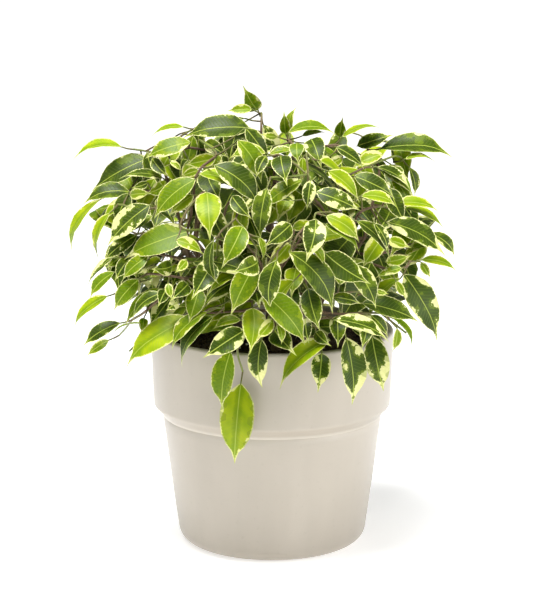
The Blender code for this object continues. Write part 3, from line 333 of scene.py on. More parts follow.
class Net:
    """A node tree that nodes are added to by type, settings and inputs."""

    def __init__(self, tree):
        self.tree = tree

    def add(self, kind, settings=None, inputs=None):
        """A node of a type, with its settings made first and then its inputs filled or linked."""
        node = self.tree.nodes.new(kind)
        for name, setting in (settings or {}).items():
            setattr(node, name, setting)
        for name, given in (inputs or {}).items():
            socket = node.inputs[name]
            source = given.socket if isinstance(given, Value) else given
            if isinstance(source, bpy.types.NodeSocket):
                self.tree.links.new(source, socket)
            else:
                socket.default_value = source
        return node

    def value(self, kind, settings=None, inputs=None, output=0):
        """One output of a new node."""
        return Value(self, self.add(kind, settings, inputs).outputs[output])

    def mix(self, factor, first, second):
        """A colour between two colours."""
        inputs = {0: factor, 6: colour(first), 7: colour(second)}
        return self.value("ShaderNodeMix", {"data_type": "RGBA"}, inputs, 2)

    def parts(self, vector):
        """A vector's three numbers."""
        node = self.add("ShaderNodeSeparateXYZ", None, {0: vector})
        return [Value(self, output) for output in node.outputs]

    def joined(self, x, y, z):
        """A vector of three numbers."""
        return self.value("ShaderNodeCombineXYZ", None, {0: x, 1: y, 2: z})

    def noise(self, vector, scale, detail, roughness):
        """A noise's value, from about 0 to 1."""
        return self.value("ShaderNodeTexNoise", None,
                          {"Vector": vector, "Scale": scale, "Detail": detail,
                           "Roughness": roughness})

    def attribute(self, name, output="Vector"):
        """A mesh attribute that a material reads."""
        return self.value("ShaderNodeAttribute", {"attribute_name": name}, None, output)

    def field(self, name, data_type="FLOAT"):
        """A mesh attribute that a geometry tree reads."""
        return self.value("GeometryNodeInputNamedAttribute", {"data_type": data_type},
                          {"Name": name})

    def place(self):
        """A point's place on its object."""
        return self.value("ShaderNodeTexCoord", None, None, "Object")

    def link(self, value, node, name):
        """Send a value to one of a node's inputs."""
        self.tree.links.new(value.socket, node.inputs[name])

    def scaled(self, vector, number):
        """A vector times a number."""
        return self.value("ShaderNodeVectorMath", {"operation": "SCALE"},
                          {0: vector, "Scale": number})

    def sum(self, *vectors):
        """All the vectors added together."""
        total = vectors[0]
        for vector in vectors[1:]:
            total = self.value("ShaderNodeVectorMath", {"operation": "ADD"}, {0: total, 1: vector})
        return total


def weighted(values, weights):
    """The sum of some values, each times its weight."""
    first, *others = [value * weight for value, weight in zip(values, weights)]
    return sum(others, first)


def colour(given):
    """A colour with its alpha, or a link as it is."""
    return given if isinstance(given, (Value, bpy.types.NodeSocket)) else (*given, 1.0)


def material(name, **settings):
    """A new material, its tree and its Principled shader, with the shader's own settings."""
    made = bpy.data.materials.new(name)
    made.use_nodes = True
    shader = made.node_tree.nodes["Principled BSDF"]
    for setting, value in settings.items():
        shader.inputs[setting.replace("_", " ").title().replace("Ior", "IOR")].default_value = value
    return made, Net(made.node_tree), shader


def bumped(net, shader, height, strength, depth):
    """Send a height through a Bump node to the shader's normal."""
    bump = net.value("ShaderNodeBump", None,
                     {"Strength": strength, "Distance": depth, "Height": height})
    net.link(bump, shader, "Normal")


def leaf_material():
    """A glossy leaf: two greens, a torn cream margin, a pale midrib and fine side veins."""
    made, net, shader = material("fig_leaf", subsurface_weight=0.06, subsurface_scale=0.0015,
                                 coat_roughness=0.32, specular_ior_level=0.14)
    shader.inputs["Subsurface Radius"].default_value = (0.5, 1.0, 0.12)
    along, rib, margin = net.parts(net.attribute("leaf_mm"))
    kind, seed, across = net.parts(net.attribute("leaf_kind"))
    underside = net.attribute("underside", "Fac")
    lime = 1.0 - kind.ramp(*KIND_EDGES[0])
    dark = kind.ramp(*KIND_EDGES[1])
    cream = kind.ramp(*KIND_EDGES[2])

    # each leaf reads the noises at a place of its own
    plane = net.joined(along + seed * NOISE_APART[0], across, seed * NOISE_APART[1])
    torn = net.noise(plane, *TORN_NOISE) - 0.5
    broad = net.noise(plane, *BROAD_NOISE) - 0.5
    # teeth run outwards along the side veins
    slant = (along - rib * VEIN_SLANT + seed * VEINS_APART) / VEIN_SPACING
    vein = abs(slant.fraction() - 0.5) * 2.0
    teeth = (vein - 0.5) * (torn + TOOTH_TEAR).most(0.0) * TOOTH_LENGTH

    patch = (broad - PATCH_RARITY + cream * PATCH_CREAM + torn * PATCH_TEAR).most(0.0)
    width = MARGIN_WIDTH + lime * MARGIN_WIDTH_YOUNG + torn * MARGIN_TEAR
    width = width + patch * (PATCH_REACH + cream * PATCH_REACH) + teeth * (0.5 + cream * 0.5)
    edge = 1.0 - (margin - width.most(MARGIN_LEAST)).ramp(*MARGIN_EDGES)
    half_width = width.line(*HALF_TONE_WIDTH)
    half_width = half_width + (torn + broad * 2.0).most(HALF_TONE_LEAST) * HALF_TONE_WANDER
    half = (1.0 - (margin - half_width).ramp(*HALF_TONE_EDGES)) * HALF_TONE_SHARE

    deep = net.mix(half, net.mix(broad.line(*DEEP_MOTTLE), *LEAF_DEEP),
                   net.mix(torn + 0.5, *LEAF_HALF))
    fresh = net.mix(half, net.mix(torn.line(*FRESH_MOTTLE), *LEAF_FRESH), LEAF_FRESH_HALF)
    stripe = (1.0 - (rib + torn * 2.0).ramp(*STRIPE_EDGES)) * STRIPE_SHARE
    young = net.mix(stripe, net.mix(broad.line(*DEEP_MOTTLE), *LEAF_YOUNG), LEAF_YOUNG_MIDDLE)
    green = net.mix(lime, net.mix(dark, fresh, deep), young)
    pale = net.mix(torn.line(*CREAM_MOTTLE), *LEAF_CREAM)
    pale = net.mix(lime * YOUNG_CREAM_SHARE, pale, LEAF_YOUNG_CREAM)
    face = net.mix(edge, green, pale)

    fine = (1.0 - vein.ramp(*VEIN_EDGES)) * rib.ramp(*VEIN_RUN_EDGES) * (1.0 - edge)
    midrib = 1.0 - rib.ramp(*MIDRIB_EDGES)
    face = net.mix(fine * VEIN_SHARE, face, LEAF_VEIN)
    face = net.mix(midrib * MIDRIB_SHARE, face, LEAF_MIDRIB)
    face = net.mix(underside * BELOW_SHARE, face, LEAF_BELOW)
    net.link(face, shader, "Base Color")
    rough = torn.line(*LEAF_ROUGHNESS) + weighted((underside, fine), LEAF_ROUGHER)
    net.link(rough, shader, "Roughness")
    net.link((1.0 - underside) * LEAF_COAT, shader, "Coat Weight")
    bumped(net, shader, weighted((fine, midrib, torn), LEAF_SURFACE), *LEAF_BUMP)
    return made


def twig_material():
    """Twig and leaf stalks: green and smooth when young, brown and corky when old."""
    made, net, shader = material("fig_twig", specular_ior_level=0.35)
    age = net.attribute("age", "Fac")
    place = net.place()
    grain = net.noise(place, *TWIG_GRAIN)
    patch = net.noise(place, *TWIG_MOTTLE)
    turned = (age + patch.line(*TWIG_MOTTLE_SHARE)).ramp(*TWIG_AGE_EDGES)
    skin = net.mix(turned, net.mix(patch, *TWIG_YOUNG), net.mix(grain, *TWIG_OLD))
    net.link(skin, shader, "Base Color")
    net.link(turned.line(*TWIG_ROUGHNESS), shader, "Roughness")
    bumped(net, shader, grain * turned, *TWIG_BUMP)
    return made


def bark_material():
    """Woody stems: grey-brown, with pale breathing pores in rings."""
    made, net, shader = material("fig_bark", specular_ior_level=0.25)
    place = net.place()
    x, y, z = net.parts(place)
    around, upward = BARK_GRAIN_SCALES
    drawn = net.joined(x * around, y * around, z * upward)
    around, upward = BARK_RING_SCALES
    ringed = net.joined(x * around, y * around, z * upward)
    grain = net.noise(drawn, *BARK_GRAIN)
    rings = net.noise(ringed, *BARK_RINGS)
    pore = net.value("ShaderNodeTexVoronoi", None, {"Vector": ringed, "Scale": PORE_SCALE})
    pore = 1.0 - pore.ramp(*PORE_EDGES)
    wood = net.mix(rings.ramp(*RING_EDGES) * RING_SHARE, net.mix(grain, *BARK), BARK_GREY)
    wood = net.mix(pore * PORE_SHARE, wood, BARK_PORE)
    net.link(wood, shader, "Base Color")
    net.link(grain.line(*BARK_ROUGHNESS), shader, "Roughness")
    bumped(net, shader, weighted((grain, pore, rings), BARK_SURFACE), *BARK_BUMP)
    return made


def glaze_material():
    """Satin greige glaze, faintly mottled, pale on the rim, with painted shade on the band under
    the collar and a painted highlight just below it.
    """
    made, net, shader = material("pot_glaze", specular_ior_level=0.5, coat_roughness=0.22)
    place = net.place()
    x, y, z = net.parts(place)
    cloud = net.noise(place, *GLAZE_CLOUD)
    speck = net.noise(place, *GLAZE_SPECKLE)
    around, upward = GLAZE_RUN_SCALES
    runs = net.noise(net.joined(x * around, y * around, z * upward), *GLAZE_RUNS)
    body = net.mix(runs.ramp(*RUN_EDGES) * RUN_SHARE, net.mix(cloud, *GLAZE), GLAZE_RUN)
    body = net.mix(speck.ramp(*SPECK_EDGES) * SPECK_SHARE, body, GLAZE_SPECK)
    low, high = STEP_PAINTED_SHADE_BAND
    # painted shade darkens the band under the collar
    step = z.ramp(low, low + STEP_BAND_FADE) * (1.0 - z.ramp(high - STEP_BAND_FADE, high))
    body = net.mix(step * STEP_SHADE_SHARE, body, GLAZE_PAINTED_SHADE)
    # a painted highlight brightens the body just below the step, where the collar's shadow falls
    painted_light_below_step = z.ramp(low - UNDER_STEP_LIGHT_REACH, low) * (1.0 - z.ramp(low, low + STEP_BAND_FADE))
    body = net.mix(painted_light_below_step * UNDER_STEP_LIGHT_SHARE, body, GLAZE_RIM_AND_PAINTED_LIGHT)
    rim = z.ramp(RIM_HEIGHT - RIM_ROUNDING, RIM_HEIGHT)
    body = net.mix(rim * RIM_SHARE, body, GLAZE_RIM_AND_PAINTED_LIGHT)
    net.link(body, shader, "Base Color")
    net.link(cloud.line(*GLAZE_ROUGHNESS) + speck * 0.04, shader, "Roughness")
    net.link(cloud.line(*GLAZE_COAT), shader, "Coat Weight")
    bumped(net, shader, weighted((cloud, speck, runs), GLAZE_SURFACE), *GLAZE_BUMP)
    return made


def soil_material(name, shades):
    """Damp peaty soil or a crumb of it."""
    made, net, shader = material(name, specular_ior_level=0.2)
    place = net.place()
    lumps = net.noise(place, *SOIL_LUMPS)
    grit = net.noise(place, *SOIL_GRAINS)
    earth = net.mix(lumps.ramp(*SOIL_LUMP_EDGES), *shades)
    earth = net.mix(grit.ramp(*SOIL_GRAIN_EDGES) * SOIL_GRAIN_SHARE, earth, SOIL_GRIT)
    net.link(earth, shader, "Base Color")
    net.link(grit.line(*SOIL_ROUGHNESS), shader, "Roughness")
    bumped(net, shader, lumps + grit * 0.4, *SOIL_BUMP)
    return made


def perlite_material():
    """A white puffed mineral grain."""
    made, net, shader = material("perlite", specular_ior_level=0.3)
    place = net.place()
    pits = net.noise(place, *PERLITE_PITS)
    net.link(net.mix(pits, *PERLITE_WHITE), shader, "Base Color")
    net.link(pits.line(*PERLITE_ROUGHNESS), shader, "Roughness")
    bumped(net, shader, pits, *PERLITE_BUMP)
    return made


def merged_copy(node):
    """A CAD node's mesh with its loose triangles joined, as a bmesh."""
    shape = bmesh.new()
    shape.from_mesh(node.data)
    bmesh.ops.remove_doubles(shape, verts=shape.verts, dist=WELD)
    shape.verts.ensure_lookup_table()
    shape.verts.index_update()
    return shape


def neighbours(verts, inside=None):
    """Vertices joined to a set by an edge, outside the set, and within another set if given."""
    found = {edge.other_vert(vert) for vert in verts for edge in vert.link_edges} - set(verts)
    return found if inside is None else found & inside


def ordered(verts):
    """Vertices in the mesh's own order, so that every run adds them up alike."""
    return sorted(verts, key=lambda vert: vert.index)


def middle(verts):
    """The mean place of some vertices."""
    return sum((vert.co for vert in verts), Vector()) / len(verts)


def walk_rings(ring, inside=None):
    """The centres and radii of a first ring of vertices and of the rings that follow it."""
    path, radii, seen = [], [], set(ring)
    while ring:
        centre = middle(ring)
        path.append(centre)
        radii.append(sum((vert.co - centre).length for vert in ring) / len(ring))
        ring = ordered(neighbours(ring, inside) - seen)
        seen |= set(ring)
    return path, radii


def read_leaf(tip):
    """A leaf of a CAD spray, walked from its tip to the face of the twig that it grows from."""
    rings = [[tip]]
    seen = {tip}
    for _ in range(BLADE_RINGS):
        ring = neighbours(rings[-1]) - seen
        if len(ring) != BLADE_CORNERS:
            return None
        seen |= ring
        rings.append(ordered(ring))
    # the tip, a narrow ring, the full breadth, the blade's foot, and the stalk's root on the twig
    _, _, full, foot, root = rings
    centres = []
    for ring in (full, foot):
        pairs = [(0, 1, 2), (1, 2, 0), (0, 2, 1)]
        first, second, keel = max(pairs, key=lambda p: (ring[p[0]].co - ring[p[1]].co).length)
        edges = (ring[first].co + ring[second].co) / 2
        centres.append((edges.lerp(ring[keel].co, 1 - KEEL_SHARE), edges - ring[keel].co,
                        (ring[first].co - ring[second].co).length))
    (_, up, breadth), (base, _, _) = centres
    axis = tip.co - base
    length = axis.length
    along = axis.normalized()
    depth = up.length
    kind = min(range(len(KIND_DEPTHS)), key=lambda index: abs(KIND_DEPTHS[index] - depth))
    up = (up - along * up.dot(along)).normalized()
    return {"foot": base.copy(), "along": along, "side": along.cross(up), "up": up,
            "length": length, "breadth": breadth, "kind": kind, "root": middle(root),
            "blade": seen - set(root)}


def girth(cap):
    """The length of a cap's edges, each taken from both its ends."""
    return sum(edge.calc_length() for vert in cap for edge in vert.link_edges
               if edge.other_vert(vert) in cap)


def read_spray(node):
    """The leaves of a CAD spray, and its twig's path and radii."""
    shape = merged_copy(node)
    leaves = [read_leaf(vert) for vert in shape.verts if len(vert.link_edges) == BLADE_CORNERS]
    leaves = [leaf for leaf in leaves if leaf]
    blades = set().union(*(leaf["blade"] for leaf in leaves))
    twig = set(shape.verts) - blades
    degree = {vert: len(vert.link_edges) for vert in twig}
    caps = [face.verts[:] for face in shape.faces
            if all(vert in twig and degree[vert] == 4 for vert in face.verts)]
    path, radii = walk_rings(max(caps, key=girth), twig)
    for leaf in leaves:
        del leaf["blade"]
    leaves.sort(key=lambda leaf: tuple(round(part, 5) for part in leaf["foot"]))
    shape.free()
    return leaves, path, radii


def read_stem(node):
    """A CAD stem's path and radii, from its foot up."""
    shape = merged_copy(node)
    ring = sorted(shape.verts, key=lambda vert: vert.co.z)[:STEM_CAD_SIDES]
    path, radii = walk_rings(ring)
    shape.free()
    return path, radii


def blade_template():
    """One flat blade, closed like a lens. Its points carry their places and the breadth there."""
    shape = bmesh.new()
    place = shape.verts.layers.float_vector.new("place")
    station = shape.verts.layers.float.new("outline")
    under = shape.faces.layers.float.new("underside")

    def point(along, outline, across, swell):
        vert = shape.verts.new((across * outline * TEMPLATE_BREADTH, along, swell * TEMPLATE_DEPTH))
        vert[place] = (along, across * outline, swell)
        vert[station] = outline
        return vert

    foot = point(0.0, 0.0, 0.0, 0.0)
    tip = point(1.0, 0.0, 0.0, 0.0)
    rows = {1: [], -1: []}
    for along, outline in OUTLINE:
        swell = (1 - (2 * along - 1) ** 2) ** SWELL_POWER
        left = point(along, outline, ACROSS[0], 0.0)
        right = point(along, outline, ACROSS[-1], 0.0)
        for way in (1, -1):
            inner = [point(along, outline, across, way * swell * (1 - across ** 2))
                     for across in ACROSS[1:-1]]
            rows[way].append([left, *inner, right])
    for way, sheet in rows.items():
        for lower, upper in zip(sheet, sheet[1:]):
            for cell in range(len(ACROSS) - 1):
                corners = [lower[cell], lower[cell + 1], upper[cell + 1], upper[cell]]
                face = shape.faces.new(corners[::way])
                face[under] = way < 0
        for cell in range(len(ACROSS) - 1):
            low = [foot, sheet[0][cell + 1], sheet[0][cell]]
            high = [sheet[-1][cell], sheet[-1][cell + 1], tip]
            for corners in (low, high):
                face = shape.faces.new(corners[::way])
                face[under] = way < 0
    # a sharp rim keeps the two sheets' shading apart
    for edge in shape.edges:
        edge.smooth = len({face[under] for face in edge.link_faces}) == 1
    mesh = bpy.data.meshes.new("blade_template")
    shape.to_mesh(mesh)
    shape.free()
    return bpy.data.objects.new("blade_template", mesh)


def new_tree(name, inputs):
    """A geometry tree with named inputs, its net, and each input's value and identifier."""
    tree = bpy.data.node_groups.new(name, "GeometryNodeTree")
    tree.interface.new_socket("Geometry", in_out="INPUT", socket_type="NodeSocketGeometry")
    tree.interface.new_socket("Geometry", in_out="OUTPUT", socket_type="NodeSocketGeometry")
    identifiers = {}
    for label, kind in inputs.items():
        made = tree.interface.new_socket(label, in_out="INPUT", socket_type=kind)
        identifiers[label] = made.identifier
    net = Net(tree)
    entry = net.add("NodeGroupInput")
    given = {socket.name: Value(net, socket) for socket in entry.outputs if socket.name}
    return net, given, identifiers


def close_tree(net, geometry):
    """End a geometry tree with its output."""
    out = net.add("NodeGroupOutput")
    net.link(geometry, out, "Geometry")


def round_lines(net, lines, sides, steps):
    """Smooth round tubes along edges, thick as the points' radius says."""
    curve = net.value("GeometryNodeMeshToCurve", None, {"Mesh": lines})
    curve = net.value("GeometryNodeCurveSplineType", {"spline_type": "CATMULL_ROM"},
                      {"Curve": curve})
    curve = net.value("GeometryNodeSetSplineResolution", None,
                      {"Geometry": curve, "Resolution": steps})
    profile = net.value("GeometryNodeCurvePrimitiveCircle", None,
                        {"Resolution": sides, "Radius": 1.0})
    return net.value("GeometryNodeCurveToMesh", None,
                     {"Curve": curve, "Profile Curve": profile, "Scale": net.field("radius_m"),
                      "Fill Caps": True})


def store(net, geometry, name, value):
    """Keep a vector on the geometry's points as a named attribute."""
    return net.value("GeometryNodeStoreNamedAttribute",
                     {"data_type": "FLOAT_VECTOR", "domain": "POINT"},
                     {"Geometry": geometry, "Name": name, "Value": value})


def spray_tree():
    """Grows a spray: round twig and stalks along the edges, and a blade on each leaf point."""
    net, given, identifiers = new_tree("grow_spray", {
        "Blade": "NodeSocketObject", "Thickness": "NodeSocketFloat", "Arch": "NodeSocketFloat",
        "Leaf": "NodeSocketMaterial", "Twig": "NodeSocketMaterial", "Twig Sides": "NodeSocketInt",
        "Twig Steps": "NodeSocketInt"})
    split = net.add("GeometryNodeSeparateGeometry", None,
                    {"Geometry": given["Geometry"], "Selection": net.field("is_leaf", "BOOLEAN")})
    wood = round_lines(net, Value(net, split.outputs[1]), given["Twig Sides"], given["Twig Steps"])
    blade = net.value("GeometryNodeObjectInfo", None, {"Object": given["Blade"]}, "Geometry")
    blades = net.value("GeometryNodeInstanceOnPoints", None,
                       {"Points": Value(net, split.outputs[0]), "Instance": blade})
    blades = net.value("GeometryNodeRealizeInstances", None, {"Geometry": blades})
    along, across, swell = net.parts(net.field("place", "FLOAT_VECTOR"))
    length, breadth, kind = net.parts(net.field("blade_size", "FLOAT_VECTOR"))
    arch, fold, droop = net.parts(net.field("blade_bend", "FLOAT_VECTOR"))
    wave, twist, seed = net.parts(net.field("blade_stir", "FLOAT_VECTOR"))
    half = across * breadth * 0.5
    # 1 halfway along the blade and 0 at its ends
    bow = along * (1.0 - along) * 4.0
    lift = arch * given["Arch"] * length * bow
    lift = lift - droop * length * (along - DROOP_FROM).most(0.0) ** 2.0
    ripple = (along * RIPPLES + seed * RIPPLE_START + across * RIPPLE_SLANT).sine() * bow
    lift = lift + abs(half) * fold + ripple * wave * abs(across) * breadth
    lift = lift + twist * half * (along - TWIST_FROM)
    lift = lift + swell * given["Thickness"] * 0.5
    sway = (along * math.pi).sine() * length * (seed - 0.5) * SWAY
    position = net.sum(net.field("foot", "FLOAT_VECTOR"),
                       net.scaled(net.field("along", "FLOAT_VECTOR"), along * length),
                       net.scaled(net.field("side", "FLOAT_VECTOR"), half + sway),
                       net.scaled(net.field("up", "FLOAT_VECTOR"), lift))
    # what the leaf's material reads, kept before the points move
    margin = (net.field("outline") * breadth * 0.5 - abs(half)) * MM
    in_mm = net.joined(along * length * MM, abs(half) * MM, margin)
    marks = net.joined(kind, seed, half * MM)
    blades = store(net, blades, "leaf_mm", in_mm)
    blades = store(net, blades, "leaf_kind", marks)
    blades = net.value("GeometryNodeSetPosition", None, {"Geometry": blades, "Position": position})
    both = net.add("GeometryNodeJoinGeometry")
    net.link(blades, both, "Geometry")
    net.link(wood, both, "Geometry")
    spray = net.value("GeometryNodeSetShadeSmooth", None, {"Geometry": Value(net, both.outputs[0])})
    spray = net.value("GeometryNodeRealizeInstances", None, {"Geometry": spray})
    spray = net.value("GeometryNodeSetMaterial", None,
                      {"Geometry": spray, "Material": given["Twig"]})
    spray = net.value("GeometryNodeSetMaterial", None,
                      {"Geometry": spray, "Selection": net.field("is_leaf", "BOOLEAN"),
                       "Material": given["Leaf"]})
    close_tree(net, spray)
    return net.tree, identifiers


def stem_tree():
    """Grows a woody stem: a round tube along the edges with swollen leaf scars."""
    net, given, identifiers = new_tree("grow_stem", {
        "Bark": "NodeSocketMaterial", "Sides": "NodeSocketInt", "Steps": "NodeSocketInt",
        "Relief": "NodeSocketFloat"})
    wood = round_lines(net, given["Geometry"], given["Sides"], given["Steps"])
    normal = net.value("GeometryNodeInputNormal")
    position = net.value("GeometryNodeInputPosition")
    x, y, z = net.parts(position)
    lumps = net.noise(position, *BARK_LUMPS) - 0.5
    scars = (z * SCAR_PITCH + (x + y) * SCAR_SLANT).sine().most(SCAR_EDGE) - SCAR_EDGE
    offset = net.scaled(normal, (lumps + scars * SCAR_RISE) * given["Relief"])
    wood = net.value("GeometryNodeSetPosition", None, {"Geometry": wood, "Offset": offset})
    wood = net.value("GeometryNodeSetShadeSmooth", None, {"Geometry": wood})
    wood = net.value("GeometryNodeRealizeInstances", None, {"Geometry": wood})
    wood = net.value("GeometryNodeSetMaterial", None, {"Geometry": wood, "Material": given["Bark"]})
    close_tree(net, wood)
    return net.tree, identifiers


def crumb_tree():
    """Strews crumbs over a surface, each turned, sized and dented at random."""
    net, given, identifiers = new_tree("strew_crumbs", {
        "Density": "NodeSocketFloat", "Smallest": "NodeSocketFloat", "Largest": "NodeSocketFloat",
        "Seed": "NodeSocketInt", "Material": "NodeSocketMaterial"})
    points = net.add("GeometryNodeDistributePointsOnFaces", None,
                     {"Mesh": given["Geometry"], "Density": given["Density"],
                      "Seed": given["Seed"]})
    ball = net.value("GeometryNodeMeshIcoSphere", None, {"Radius": 1.0, "Subdivisions": 1})
    turn = net.value("FunctionNodeRandomValue", {"data_type": "FLOAT_VECTOR"},
                     {"Min": (0.0, 0.0, 0.0), "Max": (math.tau, math.tau, math.tau),
                      "Seed": given["Seed"]})
    size = net.value("FunctionNodeRandomValue", {"data_type": "FLOAT_VECTOR"},
                     {"Min": CRUMB_SIZES[0], "Max": CRUMB_SIZES[1], "Seed": given["Seed"]})
    spread = net.value("FunctionNodeRandomValue", {"data_type": "FLOAT"},
                       {2: given["Smallest"], 3: given["Largest"], "Seed": given["Seed"]}, 1)
    crumbs = net.value("GeometryNodeInstanceOnPoints", None,
                       {"Points": Value(net, points.outputs[0]), "Instance": ball, "Rotation": turn,
                        "Scale": net.scaled(size, spread)})
    crumbs = net.value("GeometryNodeRealizeInstances", None, {"Geometry": crumbs})
    position = net.value("GeometryNodeInputPosition")
    dent = net.value("ShaderNodeTexNoise", None,
                     {"Vector": position, "Scale": CRUMB_PITS, "Detail": 1.0}, "Color")
    dent = net.value("ShaderNodeVectorMath", {"operation": "SUBTRACT"},
                     {0: dent, 1: (0.5, 0.5, 0.5)})
    dent = net.scaled(dent, given["Largest"] * CRUMB_DENT)
    crumbs = net.value("GeometryNodeSetPosition", None, {"Geometry": crumbs, "Offset": dent})
    crumbs = net.value("GeometryNodeRealizeInstances", None, {"Geometry": crumbs})
    crumbs = net.value("GeometryNodeSetMaterial", None,
                       {"Geometry": crumbs, "Material": given["Material"]})
    close_tree(net, crumbs)
    return net.tree, identifiers


def grown(name, host, tree, identifiers, inputs):
    """The plain mesh that a tree makes of a host mesh, as a new piece."""
    holder = bpy.data.objects.new(name + "_host", host)
    bpy.context.scene.collection.objects.link(holder)
    grow = holder.modifiers.new("grow", "NODES")
    grow.node_group = tree
    for label, value in inputs.items():
        grow[identifiers[label]] = value
    ready = bpy.context.evaluated_depsgraph_get()
    mesh = bpy.data.meshes.new_from_object(holder.evaluated_get(ready), depsgraph=ready)
    mesh.name = name
    holder.modifiers.remove(grow)
    bpy.data.objects.remove(holder)
    bpy.data.meshes.remove(host)
    piece = bpy.data.objects.new(name, mesh)
    bpy.context.scene.collection.objects.link(piece)
    return piece


def attach(mesh, name, kind, values):
    """Give a mesh's points a named attribute."""
    attribute = mesh.attributes.new(name, kind, "POINT")
    numbers = np.array(values, bool if kind == "BOOLEAN" else float).ravel()
    attribute.data.foreach_set("vector" if kind == "FLOAT_VECTOR" else "value", numbers)


def line_mesh(name, lines, leaves=()):
    """A host mesh: lines of points with a radius and an age, and loose points for leaves."""
    points, edges, radii, ages = [], [], [], []
    for path, path_radii, path_ages in lines:
        start = len(points)
        points += [tuple(point) for point in path]
        radii += path_radii
        ages += path_ages
        edges += [(start + step, start + step + 1) for step in range(len(path) - 1)]
    on_lines = len(points)
    points += [tuple(leaf["foot"]) for leaf in leaves]
    mesh = bpy.data.meshes.new(name)
    mesh.from_pydata(points, edges, [])
    loose = len(leaves)
    attach(mesh, "radius_m", "FLOAT", radii + [0.0] * loose)
    attach(mesh, "age", "FLOAT", ages + [0.0] * loose)
    attach(mesh, "is_leaf", "BOOLEAN", [False] * on_lines + [True] * loose)
    if leaves:
        blank = [(0.0, 0.0, 0.0)] * on_lines
        for key in ("foot", "along", "side", "up"):
            attach(mesh, key, "FLOAT_VECTOR", blank + [tuple(leaf[key]) for leaf in leaves])
        for key in ("blade_size", "blade_bend", "blade_stir"):
            attach(mesh, key, "FLOAT_VECTOR", blank + [leaf[key] for leaf in leaves])
    return mesh


def dress_leaf(leaf, chance):
    """How a leaf bends, folds, ripples and twists."""
    leaf["blade_size"] = (leaf["length"], leaf["breadth"], float(leaf["kind"]))
    leaf["blade_bend"] = (chance.uniform(*ARCHES), chance.uniform(*FOLDS), chance.uniform(*DROOPS))
    leaf["blade_stir"] = (chance.uniform(*WAVES), chance.uniform(*TWISTS), chance.random())


def stalk_line(leaf):
    """A leaf stalk: from the twig, round a gentle bend, into the blade's midrib."""
    root, foot, along, up = leaf["root"], leaf["foot"], leaf["along"], leaf["up"]
    reach = foot - root
    hollow = reach.cross(leaf["side"]).normalized() * reach.length * STALK_BEND
    under = foot + (along * STALK_ENTRY + up * STALK_ENTRY_RISE) * leaf["length"]
    path = [root - reach.normalized() * STALK_INSIDE, root + reach * STALK_MIDDLE + hollow,
            foot, under]
    return path, [STALK_RADIUS * share for share in STALK_TAPER], list(STALK_AGES)


def grow_sprays(leaf_look, twig_look):
    """A detailed spray in place of each CAD spray."""
    chance = random.Random(SEED)
    tree, identifiers = spray_tree()
    template = blade_template()
    inputs = {"Blade": template, "Thickness": LEAF_THICKNESS, "Arch": CAD_ARCH, "Leaf": leaf_look,
              "Twig": twig_look, "Twig Sides": TWIG_SIDES, "Twig Steps": TWIG_STEPS}
    for name in sorted(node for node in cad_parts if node.startswith("spray")):
        leaves, path, radii = read_spray(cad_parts[name])
        for leaf in leaves:
            dress_leaf(leaf, chance)
        back = (path[0] - path[1]).normalized()
        path = [path[0] + back * TWIG_ROOTING, *path]
        radii = [radii[0], *radii]
        last = len(path) - 1
        ages = [1.0 - index / last for index in range(last + 1)]
        lines = [(path, [radius * TWIG_SHARE for radius in radii], ages)]
        lines += [stalk_line(leaf) for leaf in leaves]
        host = line_mesh(name + "_lines", lines, leaves)
        piece = grown(name.replace("spray", "leafy_twig"), host, tree, identifiers, inputs)
        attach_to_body(piece, "root")
        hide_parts(name)
    bpy.data.objects.remove(template)


def grow_stems(bark):
    """Round, scarred stems in place of the plain CAD ones."""
    tree, identifiers = stem_tree()
    inputs = {"Bark": bark, "Sides": STEM_SIDES, "Steps": STEM_STEPS, "Relief": BARK_RELIEF}
    for name in sorted(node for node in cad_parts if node.startswith("stem")):
        path, radii = read_stem(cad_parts[name])
        host = line_mesh(name + "_line", [(path, radii, [1.0] * len(path))])
        piece = grown(name.replace("stem", "woody_stem"), host, tree, identifiers, inputs)
        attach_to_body(piece, "root")
        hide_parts(name)


def soil_top():
    """The upward faces of the CAD soil, as the surface that crumbs lie on."""
    shape = merged_copy(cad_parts["soil"])
    level = max(vert.co.z for vert in shape.verts) - SOIL_TOP_DEPTH
    low = [face for face in shape.faces
           if face.normal.z < FACING_UP or face.calc_center_median().z < level]
    bmesh.ops.delete(shape, geom=low, context="FACES")
    mesh = bpy.data.meshes.new("soil_top")
    shape.to_mesh(mesh)
    shape.free()
    return mesh


def strew_soil():
    """Crumbs of peat and a few white mineral grains on the soil."""
    tree, identifiers = crumb_tree()
    kinds = ((*PEAT, soil_material("peat_crumb", SOIL_CRUMB)), (*PERLITE, perlite_material()))
    for name, density, smallest, largest, seed, look in kinds:
        inputs = {"Density": density, "Smallest": smallest, "Largest": largest, "Seed": seed,
                  "Material": look}
        piece = grown(name, soil_top(), tree, identifiers, inputs)
        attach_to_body(piece, "root")


def turned_pot(glaze):
    """The pot with finer sides and softer steps than the CAD pot, in its place."""
    outline = [(0.0, 0.0), (FOOT_RADIUS, 0.0)]
    outline += rounded(FOOT_ROUNDING_MIDDLE, FOOT_ROUNDING, FOOT_ROUNDING, *FOOT_ARC)
    outline += [*BODY_SIDE, *STEP_GROOVE, *STEP_SIDE, *rounded(*STEP_SHOULDER, *SHOULDER_ARC)]
    lip = RIM_HEIGHT - RIM_ROUNDING
    outline += COLLAR_SIDE
    outline += rounded(RIM_RADIUS - RIM_ROUNDING, lip, RIM_ROUNDING, *RIM_ARC)
    outline += rounded(RIM_INSIDE + RIM_ROUNDING, lip, RIM_ROUNDING, *RIM_INNER_ARC)
    outline += INSIDE_SIDE
    mesh = turned("stepped_pot", outline, POT_SIDES)
    mesh.shade_smooth()
    mesh.set_sharp_from_angle(angle=math.radians(SHARP_ANGLE))
    mesh.materials.append(glaze)
    piece = bpy.data.objects.new("stepped_pot", mesh)
    bpy.context.scene.collection.objects.link(piece)
    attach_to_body(piece, "root")
    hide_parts("pot")


